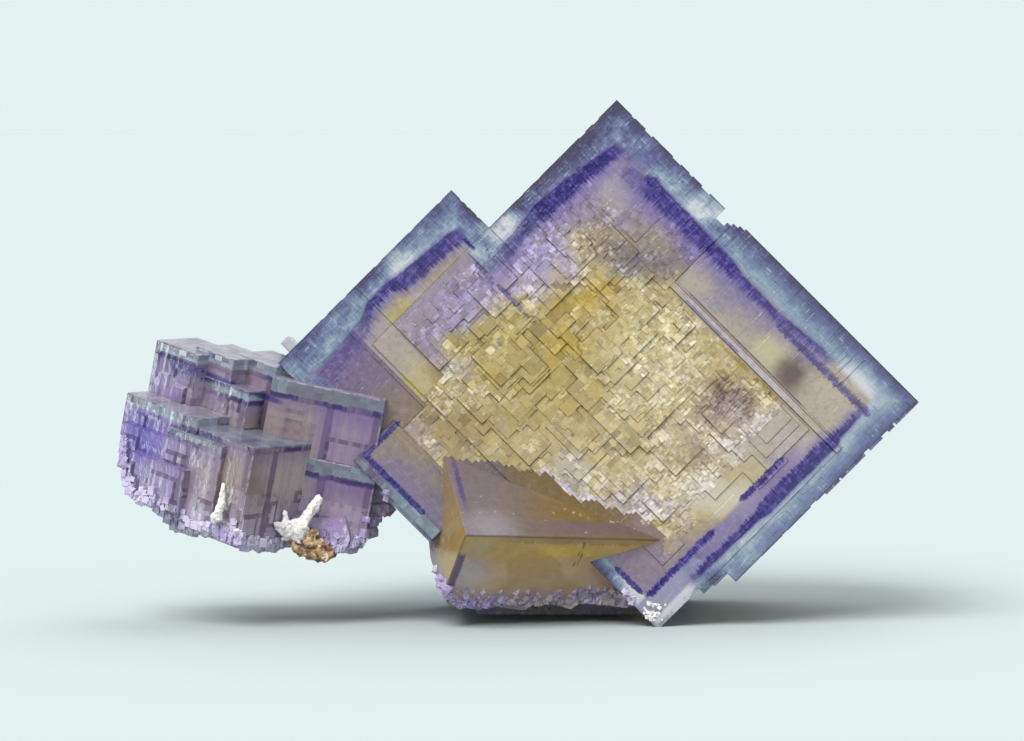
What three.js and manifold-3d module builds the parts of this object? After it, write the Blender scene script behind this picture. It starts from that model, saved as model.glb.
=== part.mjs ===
// A fluorite crystal cluster: colour-zoned cubes grown into one another, with a
// penetration-twin corner, a group of stepped cubes on the left, white growths and
// an ochre crust at the foot of that group.
//
// The specimen is drawn face-on. U is one drawing unit in millimetres. A drawing
// place (x, y) has x to the right and y downwards; w is millimetres towards the
// viewer, with the large cube's front face at w = 0. LEAN tips the drawing plane
// back a little, so that the flat cut it rests on is level.

import * as THREE from 'three';
import { mergeVertices } from 'three/addons/utils/BufferGeometryUtils.js';
import Module from 'manifold-3d';

const wasm = await Module();
wasm.setup();

// ---- driving dimensions -------------------------------------------------------
const U = 0.15;              // mm per drawing unit
const X_MID = 516.27;        // drawing x of the middle of the specimen
const Y_FOOT = 627;          // drawing y of the lowest corner, seen face-on
const LEAN = 3;              // degrees the drawing plane leans back
const Y_SHIFT = -21.71;      // mm, brings the specimen's depth to the middle of its box

// sums (x + y) and differences (x - y) of the drawing place for the cubes at 45 degrees
const MAIN = { p0: 716.5, p1: 1318, q0: 28, q1: 517, depth: 44 };
const SECOND = { p0: 641, p1: 1010, q0: -85, q1: 261.5, front: -0.5, depth: 36 };
const THIRD = { p0: 814, p1: 972, q0: -107, q1: 60, front: 0.4, depth: 20 };

// twin corner: vertex, how far it stands in front of the large face, edge lengths
const TWIN = { x: 466, y: 533, w: 10.5, turn: -2, along: 232, up: 200, down: 112 };

// edge directions of the left group (right, up, towards the viewer)
const LEFT_DOWN = [-0.186, -0.960, -0.200];
const LEFT_BACK = [-0.769, 0.270, -0.580];
const RIGHT_BACK = [0.608, 0.043, -0.790];
const YAW_RIGHT_BLOCK = 32;  // degrees the right block is turned about its upright edge

const BASE_FRONT = -19;      // mm, front of the foot that carries the rest face
const BASE_BACK = -41;
const GAP = 0.3;             // mm between the fluorite and each other mineral

// ---- helpers --------------------------------------------------------------------
const lean = THREE.MathUtils.degToRad(LEAN);
const cosL = Math.cos(lean), sinL = Math.sin(lean);

// drawing millimetres (right, up, towards viewer) to the part's own frame
function place(u, v, w) {
  return new THREE.Vector3(u, -w * cosL + v * sinL + Y_SHIFT, w * sinL + v * cosL);
}
const uOf = (x) => (x - X_MID) * U;
const vOf = (y) => (Y_FOOT - y) * U;
const at = (x, y, w) => place(uOf(x), vOf(y), w);

function solid(geometry) {
  const g = geometry.index ? geometry.clone() : geometry.clone();
  g.deleteAttribute('normal');
  g.deleteAttribute('uv');
  const m = mergeVertices(g, 1e-5);
  return new wasm.Manifold(new wasm.Mesh({
    numProp: 3,
    vertProperties: new Float32Array(m.attributes.position.array),
    triVerts: new Uint32Array(m.index.array),
  }));
}

// a box from one corner and three edge vectors, any handedness
function boxFrom(corner, e1, e2, e3) {
  const g = new THREE.BoxGeometry(1, 1, 1);
  g.translate(0.5, 0.5, 0.5);
  const m = new THREE.Matrix4().makeBasis(e1, e2, e3).setPosition(corner);
  if (m.determinant() < 0) m.makeBasis(e2, e1, e3).setPosition(corner);
  g.applyMatrix4(m);
  return solid(g);
}

// a block with its edges at 45 degrees in the drawing plane
function block45(p0, p1, q0, q1, w0, w1) {
  const c = (p, q, w) => at((p + q) / 2, (p - q) / 2, w);
  const o = c(p0, q0, w0);
  return boxFrom(o,
    c(p1, q0, w0).sub(o), c(p0, q1, w0).sub(o), c(p0, q0, w1).sub(o));
}

// a block of the left group from its nearest top corner; a, b, c in drawing units
function leftBlock(x, y, w, a, b, c, yaw = 0) {
  const t = THREE.MathUtils.degToRad(yaw);
  const L = new THREE.Vector3(...LEFT_BACK), R = new THREE.Vector3(...RIGHT_BACK);
  const l = L.clone().multiplyScalar(Math.cos(t)).addScaledVector(R, -Math.sin(t));
  const r = L.clone().multiplyScalar(Math.sin(t)).addScaledVector(R, Math.cos(t));
  const d = new THREE.Vector3(...LEFT_DOWN);
  const o = at(x, y, w);
  const e = (v, n) => place(v.x * n * U, v.y * n * U, v.z * n * U).sub(place(0, 0, 0));
  return boxFrom(o, e(l, a), e(r, b), e(d, c));
}

// a prism across the drawing: outline in drawing places, from w0 back to w1
function slab(outline, w0, w1, bevel = 0) {
  const s = new THREE.Shape(outline.map(([x, y]) => new THREE.Vector2(uOf(x), vOf(y))));
  const g = new THREE.ExtrudeGeometry(s, {
    depth: Math.abs(w1 - w0) - 2 * bevel, bevelEnabled: bevel > 0, bevelSegments: 1,
    bevelSize: bevel, bevelOffset: -bevel, bevelThickness: bevel, steps: 1,
  });
  g.translate(0, 0, Math.min(w0, w1) + bevel);
  const pos = g.attributes.position;
  for (let i = 0; i < pos.count; i++) {
    const v = place(pos.getX(i), pos.getY(i), pos.getZ(i));
    pos.setXYZ(i, v.x, v.y, v.z);
  }
  return solid(g);
}

let seed = 7;
function rnd(a = 0, b = 1) {
  seed = (seed * 1103515245 + 12345) % 2147483648;
  return a + (b - a) * (seed / 2147483648);
}

// a small cube of the sugary crust, turned any way
function grain(x, y, w, size) {
  const g = new THREE.BoxGeometry(size, size, size);
  g.applyMatrix4(new THREE.Matrix4().makeRotationFromEuler(
    new THREE.Euler(rnd(0, 1.5), rnd(0, 1.5), rnd(0, 1.5))));
  const p = at(x, y, w);
  g.translate(p.x, p.y, p.z);
  return solid(g);
}

function joined(list) {
  let all = list[0];
  for (let i = 1; i < list.length; i++) all = all.add(list[i]);
  return all;
}

// ---- the cubes that face the viewer ---------------------------------------------
const M = MAIN, S = SECOND, T = THIRD;
const facing = [
  block45(M.p0, M.p1, 154, M.q1, 0, -M.depth),
  block45(M.p0 + 2, 1299, 110, 200, -0.35, -M.depth + 1),
  block45(M.p0 + 4, 1288, M.q0, 130, 0.1, -M.depth + 2),
  // parallel growth on the faces: raised steps under the mosaic of the core
  block45(805, 1236, 110, 398, 0.45, -6),
  block45(690, 1150, 69, 250, 0.35, -6),
  block45(718, 1150, 20, 250, 0.25, -6),
  block45(880, 1190, 150, 352, 0.75, -6),
  // small steps along the lower right edge
  block45(1270, 1321.5, 332, M.q1, -0.2, -M.depth + 0.5),
  block45(1270, 1319.5, 205, 330, -2.0, -M.depth + 6),
  block45(1240, 1303, 128, 190, -3.0, -M.depth + 5),
  // steps behind the upper right edge
  block45(990, 1300, 480, 518.2, -7, -M.depth + 9),
  // the second cube and the grey block behind its left corner
  block45(S.p0, S.p1, S.q0, S.q1, S.front, -S.depth),
  block45(S.p0 + 1, 800, S.q0 - 2, 140, -15, -S.depth + 7),
  block45(622, 700, -64, -49, -4, -19),
  // the third cube, in front
  block45(T.p0, T.p1, T.q0, T.q1, T.front, -T.depth),
  block45(872, T.p1, -113, 0, T.front - 1.6, -T.depth + 2),
  // stepped growth on the back
  block45(770, 1220, 90, 330, -M.depth + 2, -M.depth - 4),
  block45(900, 1290, 250, 495, -M.depth + 2, -M.depth - 1.8),
  block45(850, 1120, 150, 420, -M.depth + 2, -M.depth - 6),
  block45(670, 930, -50, 190, -S.depth + 2, -S.depth - 3.5),
];
// the chip out of the upper right edge
const chip = [
  block45(934, 950, 498, 560, 5, -80),
  block45(948, 968, 511, 560, 5, -80),
];

// ---- the twin corner --------------------------------------------------------------
function twin() {
  const r = THREE.MathUtils.degToRad(TWIN.turn);
  const turned = (x, y, z) => place(
    (x * Math.cos(r) - y * Math.sin(r)) * U, (x * Math.sin(r) + y * Math.cos(r)) * U, z * U,
  ).sub(place(0, 0, 0));
  const s2 = Math.SQRT2;
  const e1 = turned(2 * s2 / 3, 0, -1 / 3).multiplyScalar(TWIN.along);
  const e2 = turned(-s2 / 6, 1 / s2, -2 / 3).multiplyScalar(TWIN.up);
  const e3 = turned(-s2 / 6, -1 / s2, -2 / 3).multiplyScalar(TWIN.down);
  return boxFrom(at(TWIN.x, TWIN.y, TWIN.w), e1, e2, e3);
}

// ---- the left group -----------------------------------------------------------------
const left = [
  leftBlock(258, 447, 9.6, 76, 92, 104),        // front cube
  leftBlock(226, 446, 7.0, 72, 90, 88),         // steps to its left
  leftBlock(200, 419, 3.6, 98, 88, 44),         // left block, in three steps
  leftBlock(193, 446, 3.3, 92, 84, 48),
  leftBlock(186, 470, 4.0, 72, 70, 46),
  leftBlock(198, 355, -2.2, 58, 62, 120),       // top blocks, from left to right
  leftBlock(234, 360, -1.2, 52, 56, 120),
  leftBlock(276, 368, -0.9, 58, 60, 130),
  leftBlock(250, 392, 0.6, 84, 70, 110),
  leftBlock(386, 401, 1.6, 116, 150, 112, YAW_RIGHT_BLOCK), // right block
  leftBlock(377, 472, -0.3, 112, 150, 81, YAW_RIGHT_BLOCK),
];
const leftFoot = slab([
  [124, 440], [117, 452], [122, 462], [120, 480], [127, 492], [137, 501], [148, 506],
  [158, 509], [160, 518], [173, 530], [195, 537], [218, 527], [221, 538], [237, 543],
  [252, 548], [265, 553], [277, 552], [287, 540], [297, 532], [318, 540], [330, 556],
  [345, 553], [357, 549], [358, 537], [371, 531], [377, 520], [389, 509], [400, 480],
  [380, 430], [300, 420], [200, 420],
], -5.0, -19, 1.2);
// the lip behind the ochre crust
const lip = slab([
  [292, 518], [290, 536], [297, 532], [318, 540], [330, 555], [343, 552], [350, 540], [345, 518],
], -1.6, -12);

// ---- the rough foot under the middle ----------------------------------------------------
const middleFoot = slab([
  [429, 544], [430, 559], [435, 574], [440, 590], [447, 601], [456, 608], [478, 612],
  [494, 609], [516, 611], [526, 612], [533, 604], [551, 605], [571, 611], [581, 605],
  [605, 607], [628, 610], [650, 590], [620, 520], [440, 520],
], -6.0, -33, 1.0);
const base = slab([
  [466, 596], [474, 612], [482, 640], [655, 660], [662, 600], [560, 560], [480, 570],
], BASE_FRONT, BASE_BACK, 1.5);

const grains = [];
for (let i = 0; i < 30; i++) {
  const t = i / 29;
  grains.push(grain(448 + t * 168, 601 + 4 * Math.sin(i * 1.7), rnd(-24, -5.5), rnd(2.2, 3.6)));
}
for (let i = 0; i < 26; i++) {
  const t = i / 25;
  const x = 132 + t * 150, y = 494 + t * 48 + 5 * Math.sin(i * 2.1) - 4;
  grains.push(grain(x, y, rnd(-14, -4.5), rnd(2.0, 3.4)));
}
for (let i = 0; i < 14; i++) {
  grains.push(grain(rnd(486, 640), rnd(604, 618), rnd(BASE_BACK + 2, BASE_FRONT - 1), rnd(2.4, 4.2)));
}

// ---- one solid, cut flat where it rests -----------------------------------------------
const twinRoom = slab([
  [380, 300], [380, 470], [428, 540], [430, 559], [435, 574], [441, 590], [449, 606],
  [700, 606], [900, 500], [900, 300],
], 20, -30);
let fluorite = joined([
  ...facing, twin().intersect(twinRoom), ...left, leftFoot, lip, middleFoot, base, ...grains,
]);
for (const c of chip) fluorite = fluorite.subtract(c);
fluorite = fluorite.subtract(slab([[100, 380], [139, 389], [121, 400], [114, 440], [90, 440]], 20, -40));
const under = new THREE.BoxGeometry(400, 400, 50);
under.translate(0, 0, -25);
fluorite = fluorite.subtract(solid(under));

// ---- the white growths and the crust ---------------------------------------------------
// a tapering rod between two drawing places
function rod(a, b, r0, r1, sides = 7) {
  const p = at(...a), q = at(...b);
  const g = new THREE.CylinderGeometry(r1, r0, p.distanceTo(q), sides, 1);
  g.translate(0, p.distanceTo(q) / 2, 0);
  g.applyQuaternion(new THREE.Quaternion().setFromUnitVectors(
    new THREE.Vector3(0, 1, 0), q.clone().sub(p).normalize()));
  g.translate(p.x, p.y, p.z);
  return solid(g);
}
function lump(x, y, w, r, flat = 1) {
  const g = new THREE.IcosahedronGeometry(r, 1);
  g.scale(1, flat, 1);
  const p = at(x, y, w);
  g.translate(p.x, p.y, p.z);
  return solid(g);
}
const sprigRight = joined([
  lump(289, 531, -1.6, 1.9), lump(299, 529, -0.2, 1.8),
  rod([298, 530, 0.2], [318, 500, -1.2], 1.05, 0.95),
  rod([286, 528, -0.6], [287, 513, -0.4], 0.9, 0.3),
  rod([283, 529, 0.2], [277, 524, 0.9], 1.0, 0.4),
  rod([294, 532, -0.6], [300, 539, -0.4], 1.3, 0.9),
]);
const sprigLeft = joined([
  rod([226, 484, 5.9], [224, 503, 5.4], 0.35, 0.75),
  rod([224, 502, 5.4], [219, 517, 4.9], 0.75, 0.85),
  lump(218, 516, 4.8, 1.1),
]);
const crust = joined([
  lump(308, 545, -1.2, 2.3, 0.8), lump(318, 551, -1.6, 1.9, 0.8), lump(299, 543, -0.9, 1.5),
  lump(311, 536, -0.8, 1.5), lump(327, 553, -2.0, 1.4),
]);

// the fluorite keeps a small gap to each of them: its neighbourhood is cut by a grown copy
function grown(m, by) {
  // the solid and its copies moved by the gap along each axis and diagonal
  const list = [m];
  for (const [x, y, z] of [[1, 0, 0], [-1, 0, 0], [0, 1, 0], [0, -1, 0], [0, 0, 1], [0, 0, -1]]) {
    list.push(m.translate([x * by, y * by, z * by]));
  }
  return joined(list);
}
const crustFree = crust.subtract(grown(sprigRight, GAP));
fluorite = fluorite.subtract(grown(sprigRight, GAP));
fluorite = fluorite.subtract(grown(sprigLeft, GAP));
fluorite = fluorite.subtract(grown(crust, GAP));

function biggest(m) {
  const parts = m.decompose();
  parts.sort((a, b) => b.volume() - a.volume());
  return parts[0];
}

// ---- the group ---------------------------------------------------------------------------
function meshOf(m, name, material) {
  const mesh = m.getMesh();
  const n = mesh.numProp;
  const pos = new Float32Array((mesh.vertProperties.length / n) * 3);
  for (let i = 0, j = 0; i < mesh.vertProperties.length; i += n, j += 3) {
    pos[j] = mesh.vertProperties[i];
    pos[j + 1] = mesh.vertProperties[i + 1];
    pos[j + 2] = mesh.vertProperties[i + 2];
  }
  const g = new THREE.BufferGeometry();
  g.setAttribute('position', new THREE.BufferAttribute(pos, 3));
  g.setIndex(new THREE.BufferAttribute(new Uint32Array(mesh.triVerts), 1));
  g.computeVertexNormals();
  const out = new THREE.Mesh(g, material);
  out.name = name;
  return out;
}

const group = new THREE.Group();
group.add(meshOf(biggest(fluorite), 'fluorite_cluster', new THREE.MeshStandardMaterial({
  color: 0xa99ab8, roughness: 0.18, metalness: 0, transparent: true, opacity: 0.9 })));
group.add(meshOf(biggest(sprigLeft), 'white_sprig_left', new THREE.MeshStandardMaterial({
  color: 0xeae8ec, roughness: 0.6, metalness: 0 })));
group.add(meshOf(biggest(sprigRight), 'white_sprig_right', new THREE.MeshStandardMaterial({
  color: 0xece9e6, roughness: 0.6, metalness: 0 })));
group.add(meshOf(biggest(crustFree), 'ochre_crust', new THREE.MeshStandardMaterial({
  color: 0x8a6548, roughness: 0.75, metalness: 0 })));

export default group;
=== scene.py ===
import math
import bpy
import bmesh
import numpy as np
from mathutils import Matrix, Vector
from mathutils import noise as noise3
from mathutils.bvhtree import BVHTree


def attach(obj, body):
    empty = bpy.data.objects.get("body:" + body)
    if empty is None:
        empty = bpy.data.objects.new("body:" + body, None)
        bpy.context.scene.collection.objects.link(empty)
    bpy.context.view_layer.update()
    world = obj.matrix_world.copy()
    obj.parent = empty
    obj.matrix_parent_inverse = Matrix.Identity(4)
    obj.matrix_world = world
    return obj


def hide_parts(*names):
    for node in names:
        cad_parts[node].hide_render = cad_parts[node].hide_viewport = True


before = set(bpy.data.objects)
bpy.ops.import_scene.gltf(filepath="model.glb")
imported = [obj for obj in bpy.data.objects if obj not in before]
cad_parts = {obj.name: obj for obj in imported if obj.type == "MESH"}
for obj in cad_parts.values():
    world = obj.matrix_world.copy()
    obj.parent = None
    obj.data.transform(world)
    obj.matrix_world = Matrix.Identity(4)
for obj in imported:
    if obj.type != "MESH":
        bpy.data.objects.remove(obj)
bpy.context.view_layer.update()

scene = bpy.context.scene

# ---------------------------------------------------------------------------
# The drawing space. x to the right and y downwards in drawing units of U mm, w in
# mm towards the viewer with the large cube's face at w = 0. Meshes are made in mm
# as (right, up, towards viewer) and moved into the part's frame at the end.
# ---------------------------------------------------------------------------
U = 0.15
X_MID, Y_FOOT = 516.27, 627.0
LEAN = math.radians(3.0)
Y_SHIFT = -21.71
cL, sL = math.cos(LEAN), math.sin(LEAN)
TO_FRAME = Matrix((
    (1, 0, 0, 0),
    (0, sL, -cL, Y_SHIFT),
    (0, cL, sL, 0),
    (0, 0, 0, 1),
))
TO_METRES = Matrix.Scale(0.001, 4) @ TO_FRAME


def D(x, y, w=0.0):
    return np.array([(x - X_MID) * U, (Y_FOOT - y) * U, w], float)


def C45(p, q, w=0.0):
    """A place by its sum x + y and difference x - y."""
    return D((p + q) / 2, (p - q) / 2, w)


rng = np.random.default_rng(20)
MAIN_P, MAIN_Q = (716.5, 1318.0), (28.0, 517.0)

# ---------------------------------------------------------------------------
# mesh helpers
# ---------------------------------------------------------------------------
HEX = [(0, 3, 2, 1), (4, 5, 6, 7), (0, 1, 5, 4), (1, 2, 6, 5), (2, 3, 7, 6), (3, 0, 4, 7)]


ATTRS = ("tone", "wall", "k0", "k1", "k2")


def give_attrs(me, values=None, n=None):
    n = len(me.polygons) if n is None else n
    for name in ATTRS:
        at = me.attributes.get(name) or me.attributes.new(name, "FLOAT", "FACE")
        if values is not None and name in values:
            at.data.foreach_set("value", np.asarray(values[name], np.float32))


class Soup:
    """Closed pieces gathered as plain lists, each face with a material number and a few values."""

    def __init__(self):
        self.v, self.f, self.m = [], [], []
        self.a = {k: [] for k in ATTRS}
        self.now = {k: 0.0 for k in ATTRS}

    def face(self, idx, mat):
        self.f.append(list(idx))
        self.m.append(mat)
        for k in ATTRS:
            self.a[k].append(self.now[k])

    def hexa(self, c, mat=0, wall=None):
        """Eight corners: four below, then the four above them."""
        c = np.asarray(c, float)
        n = np.cross(c[1] - c[0], c[3] - c[0])
        flip = np.dot(n, c[4:].mean(0) - c[:4].mean(0)) < 0
        base = len(self.v)
        self.v.extend(map(tuple, c))
        for i, q in enumerate(HEX):
            q = q if not flip else q[::-1]
            keep = self.now["wall"]
            if wall is not None and i > 1:
                self.now["wall"] = wall
            self.face([base + t for t in q], mat)
            self.now["wall"] = keep

    def box(self, o, a, b, c, mat=0):
        o, a, b, c = map(np.asarray, (o, a, b, c))
        self.hexa([o, o + a, o + a + b, o + b, o + c, o + a + c, o + a + b + c, o + b + c], mat)

    def hull(self, pts, mat=0):
        """The convex hull of a few points."""
        bm = bmesh.new()
        for p in pts:
            bm.verts.new(p)
        out = bmesh.ops.convex_hull(bm, input=bm.verts)
        loose = [e for e in out["geom_interior"] + out["geom_unused"] if isinstance(e, bmesh.types.BMVert)]
        if loose:
            bmesh.ops.delete(bm, geom=list(set(loose)), context="VERTS")
        bmesh.ops.recalc_face_normals(bm, faces=bm.faces)
        bmesh.ops.dissolve_limit(bm, angle_limit=0.02, verts=bm.verts, edges=bm.edges)
        base = len(self.v)
        bm.verts.index_update()
        self.v.extend(tuple(v.co) for v in bm.verts)
        for f in bm.faces:
            self.face([base + v.index for v in f.verts], mat)
        bm.free()

    def cut_box(self, o, a, b, c, r, mat=0):
        """A box with its edges taken off by r, as a slightly worn crystal has."""
        o, a, b, c = (np.asarray(t, float) for t in (o, a, b, c))
        la, lb, lc = (np.linalg.norm(t) for t in (a, b, c))
        ea, eb, ec = a / la, b / lb, c / lc
        pts = []
        for i in (0, 1):
            for j in (0, 1):
                for k in (0, 1):
                    s = np.array([1 - 2 * i, 1 - 2 * j, 1 - 2 * k])
                    corner = o + a * i + b * j + c * k
                    full = (ea * s[0] * r, eb * s[1] * r, ec * s[2] * r)
                    pts += [corner + full[1] + full[2], corner + full[0] + full[2],
                            corner + full[0] + full[1]]
        self.hull(pts, mat)

    def object(self, name, mats=()):
        me = bpy.data.meshes.new(name)
        me.from_pydata(self.v, [], self.f)
        for m in mats:
            me.materials.append(m)
        if mats:
            me.polygons.foreach_set("material_index", self.m)
        give_attrs(me, self.a)
        me.update()
        ob = bpy.data.objects.new(name, me)
        scene.collection.objects.link(ob)
        return ob


def relief(name, S, T, inside, H, tone, place, back, mats, mat, edge=0.0, extra=None, side=None,
           region=None, paint=None):
    """A closed slab whose front is made of flat cells, each with its own plane. S and T are
    the grid lines, H[i, j] the four corner heights of a cell, and place(s, t, h) its place."""
    ns, nt = len(S) - 1, len(T) - 1
    verts, faces, ft, fw, fc = [], [], [], [], []
    idx = -np.ones((ns, nt, 4), int)
    has = lambda i, j: 0 <= i < ns and 0 <= j < nt and inside[i, j]
    for i in range(ns):
        for j in range(nt):
            if not inside[i, j]:
                continue
            L, R, B, F = has(i - 1, j), has(i + 1, j), has(i, j - 1), has(i, j + 1)
            def gap(yes, ii, jj, size):
                if not yes:
                    return 0.0
                wide = region is not None and region[ii, jj] != region[i, j]
                return min(WIDE_GAP if wide else RELIEF_GAP, 0.22 * size)
            s0, s1 = S[i] + gap(L, i - 1, j, S[i + 1] - S[i]), S[i + 1] - gap(R, i + 1, j, S[i + 1] - S[i])
            t0, t1 = T[j] + gap(B, i, j - 1, T[j + 1] - T[j]), T[j + 1] - gap(F, i, j + 1, T[j + 1] - T[j])
            for k, (s, t, out) in enumerate(((s0, t0, not L or not B), (s1, t0, not R or not B),
                                             (s1, t1, not R or not F), (s0, t1, not L or not F))):
                idx[i, j, k] = len(verts)
                verts.append((s, t, H[i, j, k] - (edge if out else 0.0)))
    def put(f, t, w, i=-1, j=-1):
        faces.append(f)
        ft.append(t)
        fw.append(w)
        fc.append(paint[i, j] if paint is not None else (0, 0, 0))
    for i in range(ns):
        for j in range(nt):
            if not inside[i, j]:
                continue
            a = idx[i, j]
            put([a[0], a[1], a[2], a[3]], tone[i, j], 0.0, i, j)
            if has(i + 1, j):
                b = idx[i + 1, j]
                dh = abs(verts[a[1]][2] - verts[b[0]][2]) + abs(verts[a[2]][2] - verts[b[3]][2])
                put([a[1], b[0], b[3], a[2]], max(tone[i, j], tone[i + 1, j]), dh * 0.5, i, j)
            if has(i, j + 1):
                b = idx[i, j + 1]
                dh = abs(verts[a[3]][2] - verts[b[0]][2]) + abs(verts[a[2]][2] - verts[b[1]][2])
                put([a[3], a[2], b[1], b[0]], max(tone[i, j], tone[i, j + 1]), dh * 0.5, i, j)
    for i in range(-1, ns):
        for j in range(-1, nt):
            ring = [idx[c[0], c[1], c[2]] for c in ((i, j, 2), (i + 1, j, 3), (i + 1, j + 1, 0), (i, j + 1, 1))
                    if has(c[0], c[1])]
            if len(ring) >= 3:
                hs = [verts[r][2] for r in ring]
                put(ring, 0.5, (max(hs) - min(hs)) * 0.5, max(i, 0), max(j, 0))
    me = bpy.data.meshes.new(name)
    me.from_pydata(verts, [], faces)
    vals = {"tone": ft, "wall": fw}
    for k, v in (extra or {}).items():
        vals[k] = [v] * len(faces)
    if paint is not None:
        for k, name in enumerate(("k0", "k1", "k2")):
            vals[name] = [c[k] for c in fc]
    give_attrs(me, vals)
    bm = bmesh.new()
    bm.from_mesh(me)
    rim = [e for e in bm.edges if e.is_boundary]
    out = bmesh.ops.extrude_edge_only(bm, edges=rim)
    new = out["geom"]
    plain = [g for g in new if isinstance(g, bmesh.types.BMFace)]
    layers = [bm.faces.layers.float.get(k) for k in ("tone", "wall")]
    for g in new:
        if isinstance(g, bmesh.types.BMVert):
            g.co.z = back
        elif isinstance(g, bmesh.types.BMFace):
            for la in layers:
                g[la] = 0.0
    low = [g for g in new if isinstance(g, bmesh.types.BMEdge) and g.is_boundary]
    cap = bmesh.ops.contextual_create(bm, geom=low)["faces"]
    for f in cap:
        for la in layers:
            f[la] = 0.0
    for v in bm.verts:
        v.co = place(*v.co)
    bmesh.ops.recalc_face_normals(bm, faces=bm.faces)
    for m in mats:
        me.materials.append(m)
    for f in bm.faces:
        f.material_index = mat
    for f in plain + list(cap):
        f.material_index = mat if side is None else side
    bm.to_mesh(me)
    bm.free()
    ob = bpy.data.objects.new(name, me)
    scene.collection.objects.link(ob)
    return ob


def jitter_lines(a, b, step, var, gen):
    out = [a]
    while out[-1] < b - step * 1.5:
        out.append(out[-1] + step * (1 + gen.uniform(-var, var)))
    out.append(b)
    return out


def groups(ns, nt, region, size_of, gen):
    """Cells gathered into small rectangles that stay inside one region."""
    gid = -np.ones((ns, nt), int)
    k = 0
    order = [(i, j) for i in range(ns) for j in range(nt)]
    for i, j in order:
        if gid[i, j] >= 0:
            continue
        a, b = size_of(i, j)
        di = max(1, int(round(gen.uniform(0.6, 1.4) * a)))
        dj = max(1, int(round(gen.uniform(0.6, 1.4) * b)))
        for ii in range(i, min(ns, i + di)):
            if gid[ii, j] >= 0 or region[ii, j] != region[i, j]:
                break
            for jj in range(j, min(nt, j + dj)):
                if gid[ii, jj] >= 0 or region[ii, jj] != region[i, j]:
                    break
                gid[ii, jj] = k
        k += 1
    return gid, k


RELIEF_GAP, WIDE_GAP = 0.35, 0.8


def block45(s, p0, p1, q0, q1, w0, w1, mat=0, r=0.12):
    o = C45(p0, q0, w0)
    s.cut_box(o, C45(p1, q0, w0) - o, C45(p0, q1, w0) - o, C45(p0, q0, w1) - o, r, mat)


def remove(ob):
    me = ob.data
    bpy.data.objects.remove(ob)
    bpy.data.meshes.remove(me)


def boolean(ob, other, kind="UNION", keep=False):
    mod = ob.modifiers.new("b", "BOOLEAN")
    mod.operation, mod.solver, mod.object = kind, "MANIFOLD", other
    dg = bpy.context.evaluated_depsgraph_get()
    me = bpy.data.meshes.new_from_object(ob.evaluated_get(dg))
    ob.modifiers.clear()
    old = ob.data
    name = old.name
    ob.data = me
    bpy.data.meshes.remove(old)
    me.name = name
    if not keep:
        remove(other)
    return ob


def union_all(boxes, name, mats):
    """Joins a list of (function that adds to a soup) one by one."""
    ob = None
    for add in boxes:
        s = Soup()
        add(s)
        o = s.object(name if ob is None else "tmp", mats)
        ob = o if ob is None else boolean(ob, o)
    return ob


def settle(ob, smooth=None):
    """Moves a mesh made in the drawing space into the part's frame, in metres."""
    ob.data.transform(TO_METRES)
    if ob.data.polygons:
        ob.data.polygons.foreach_set("use_smooth", [smooth is not None] * len(ob.data.polygons))
    if smooth is not None:
        ob.data.set_sharp_from_angle(angle=math.radians(smooth))
    ob.data.update()
    return ob


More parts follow.
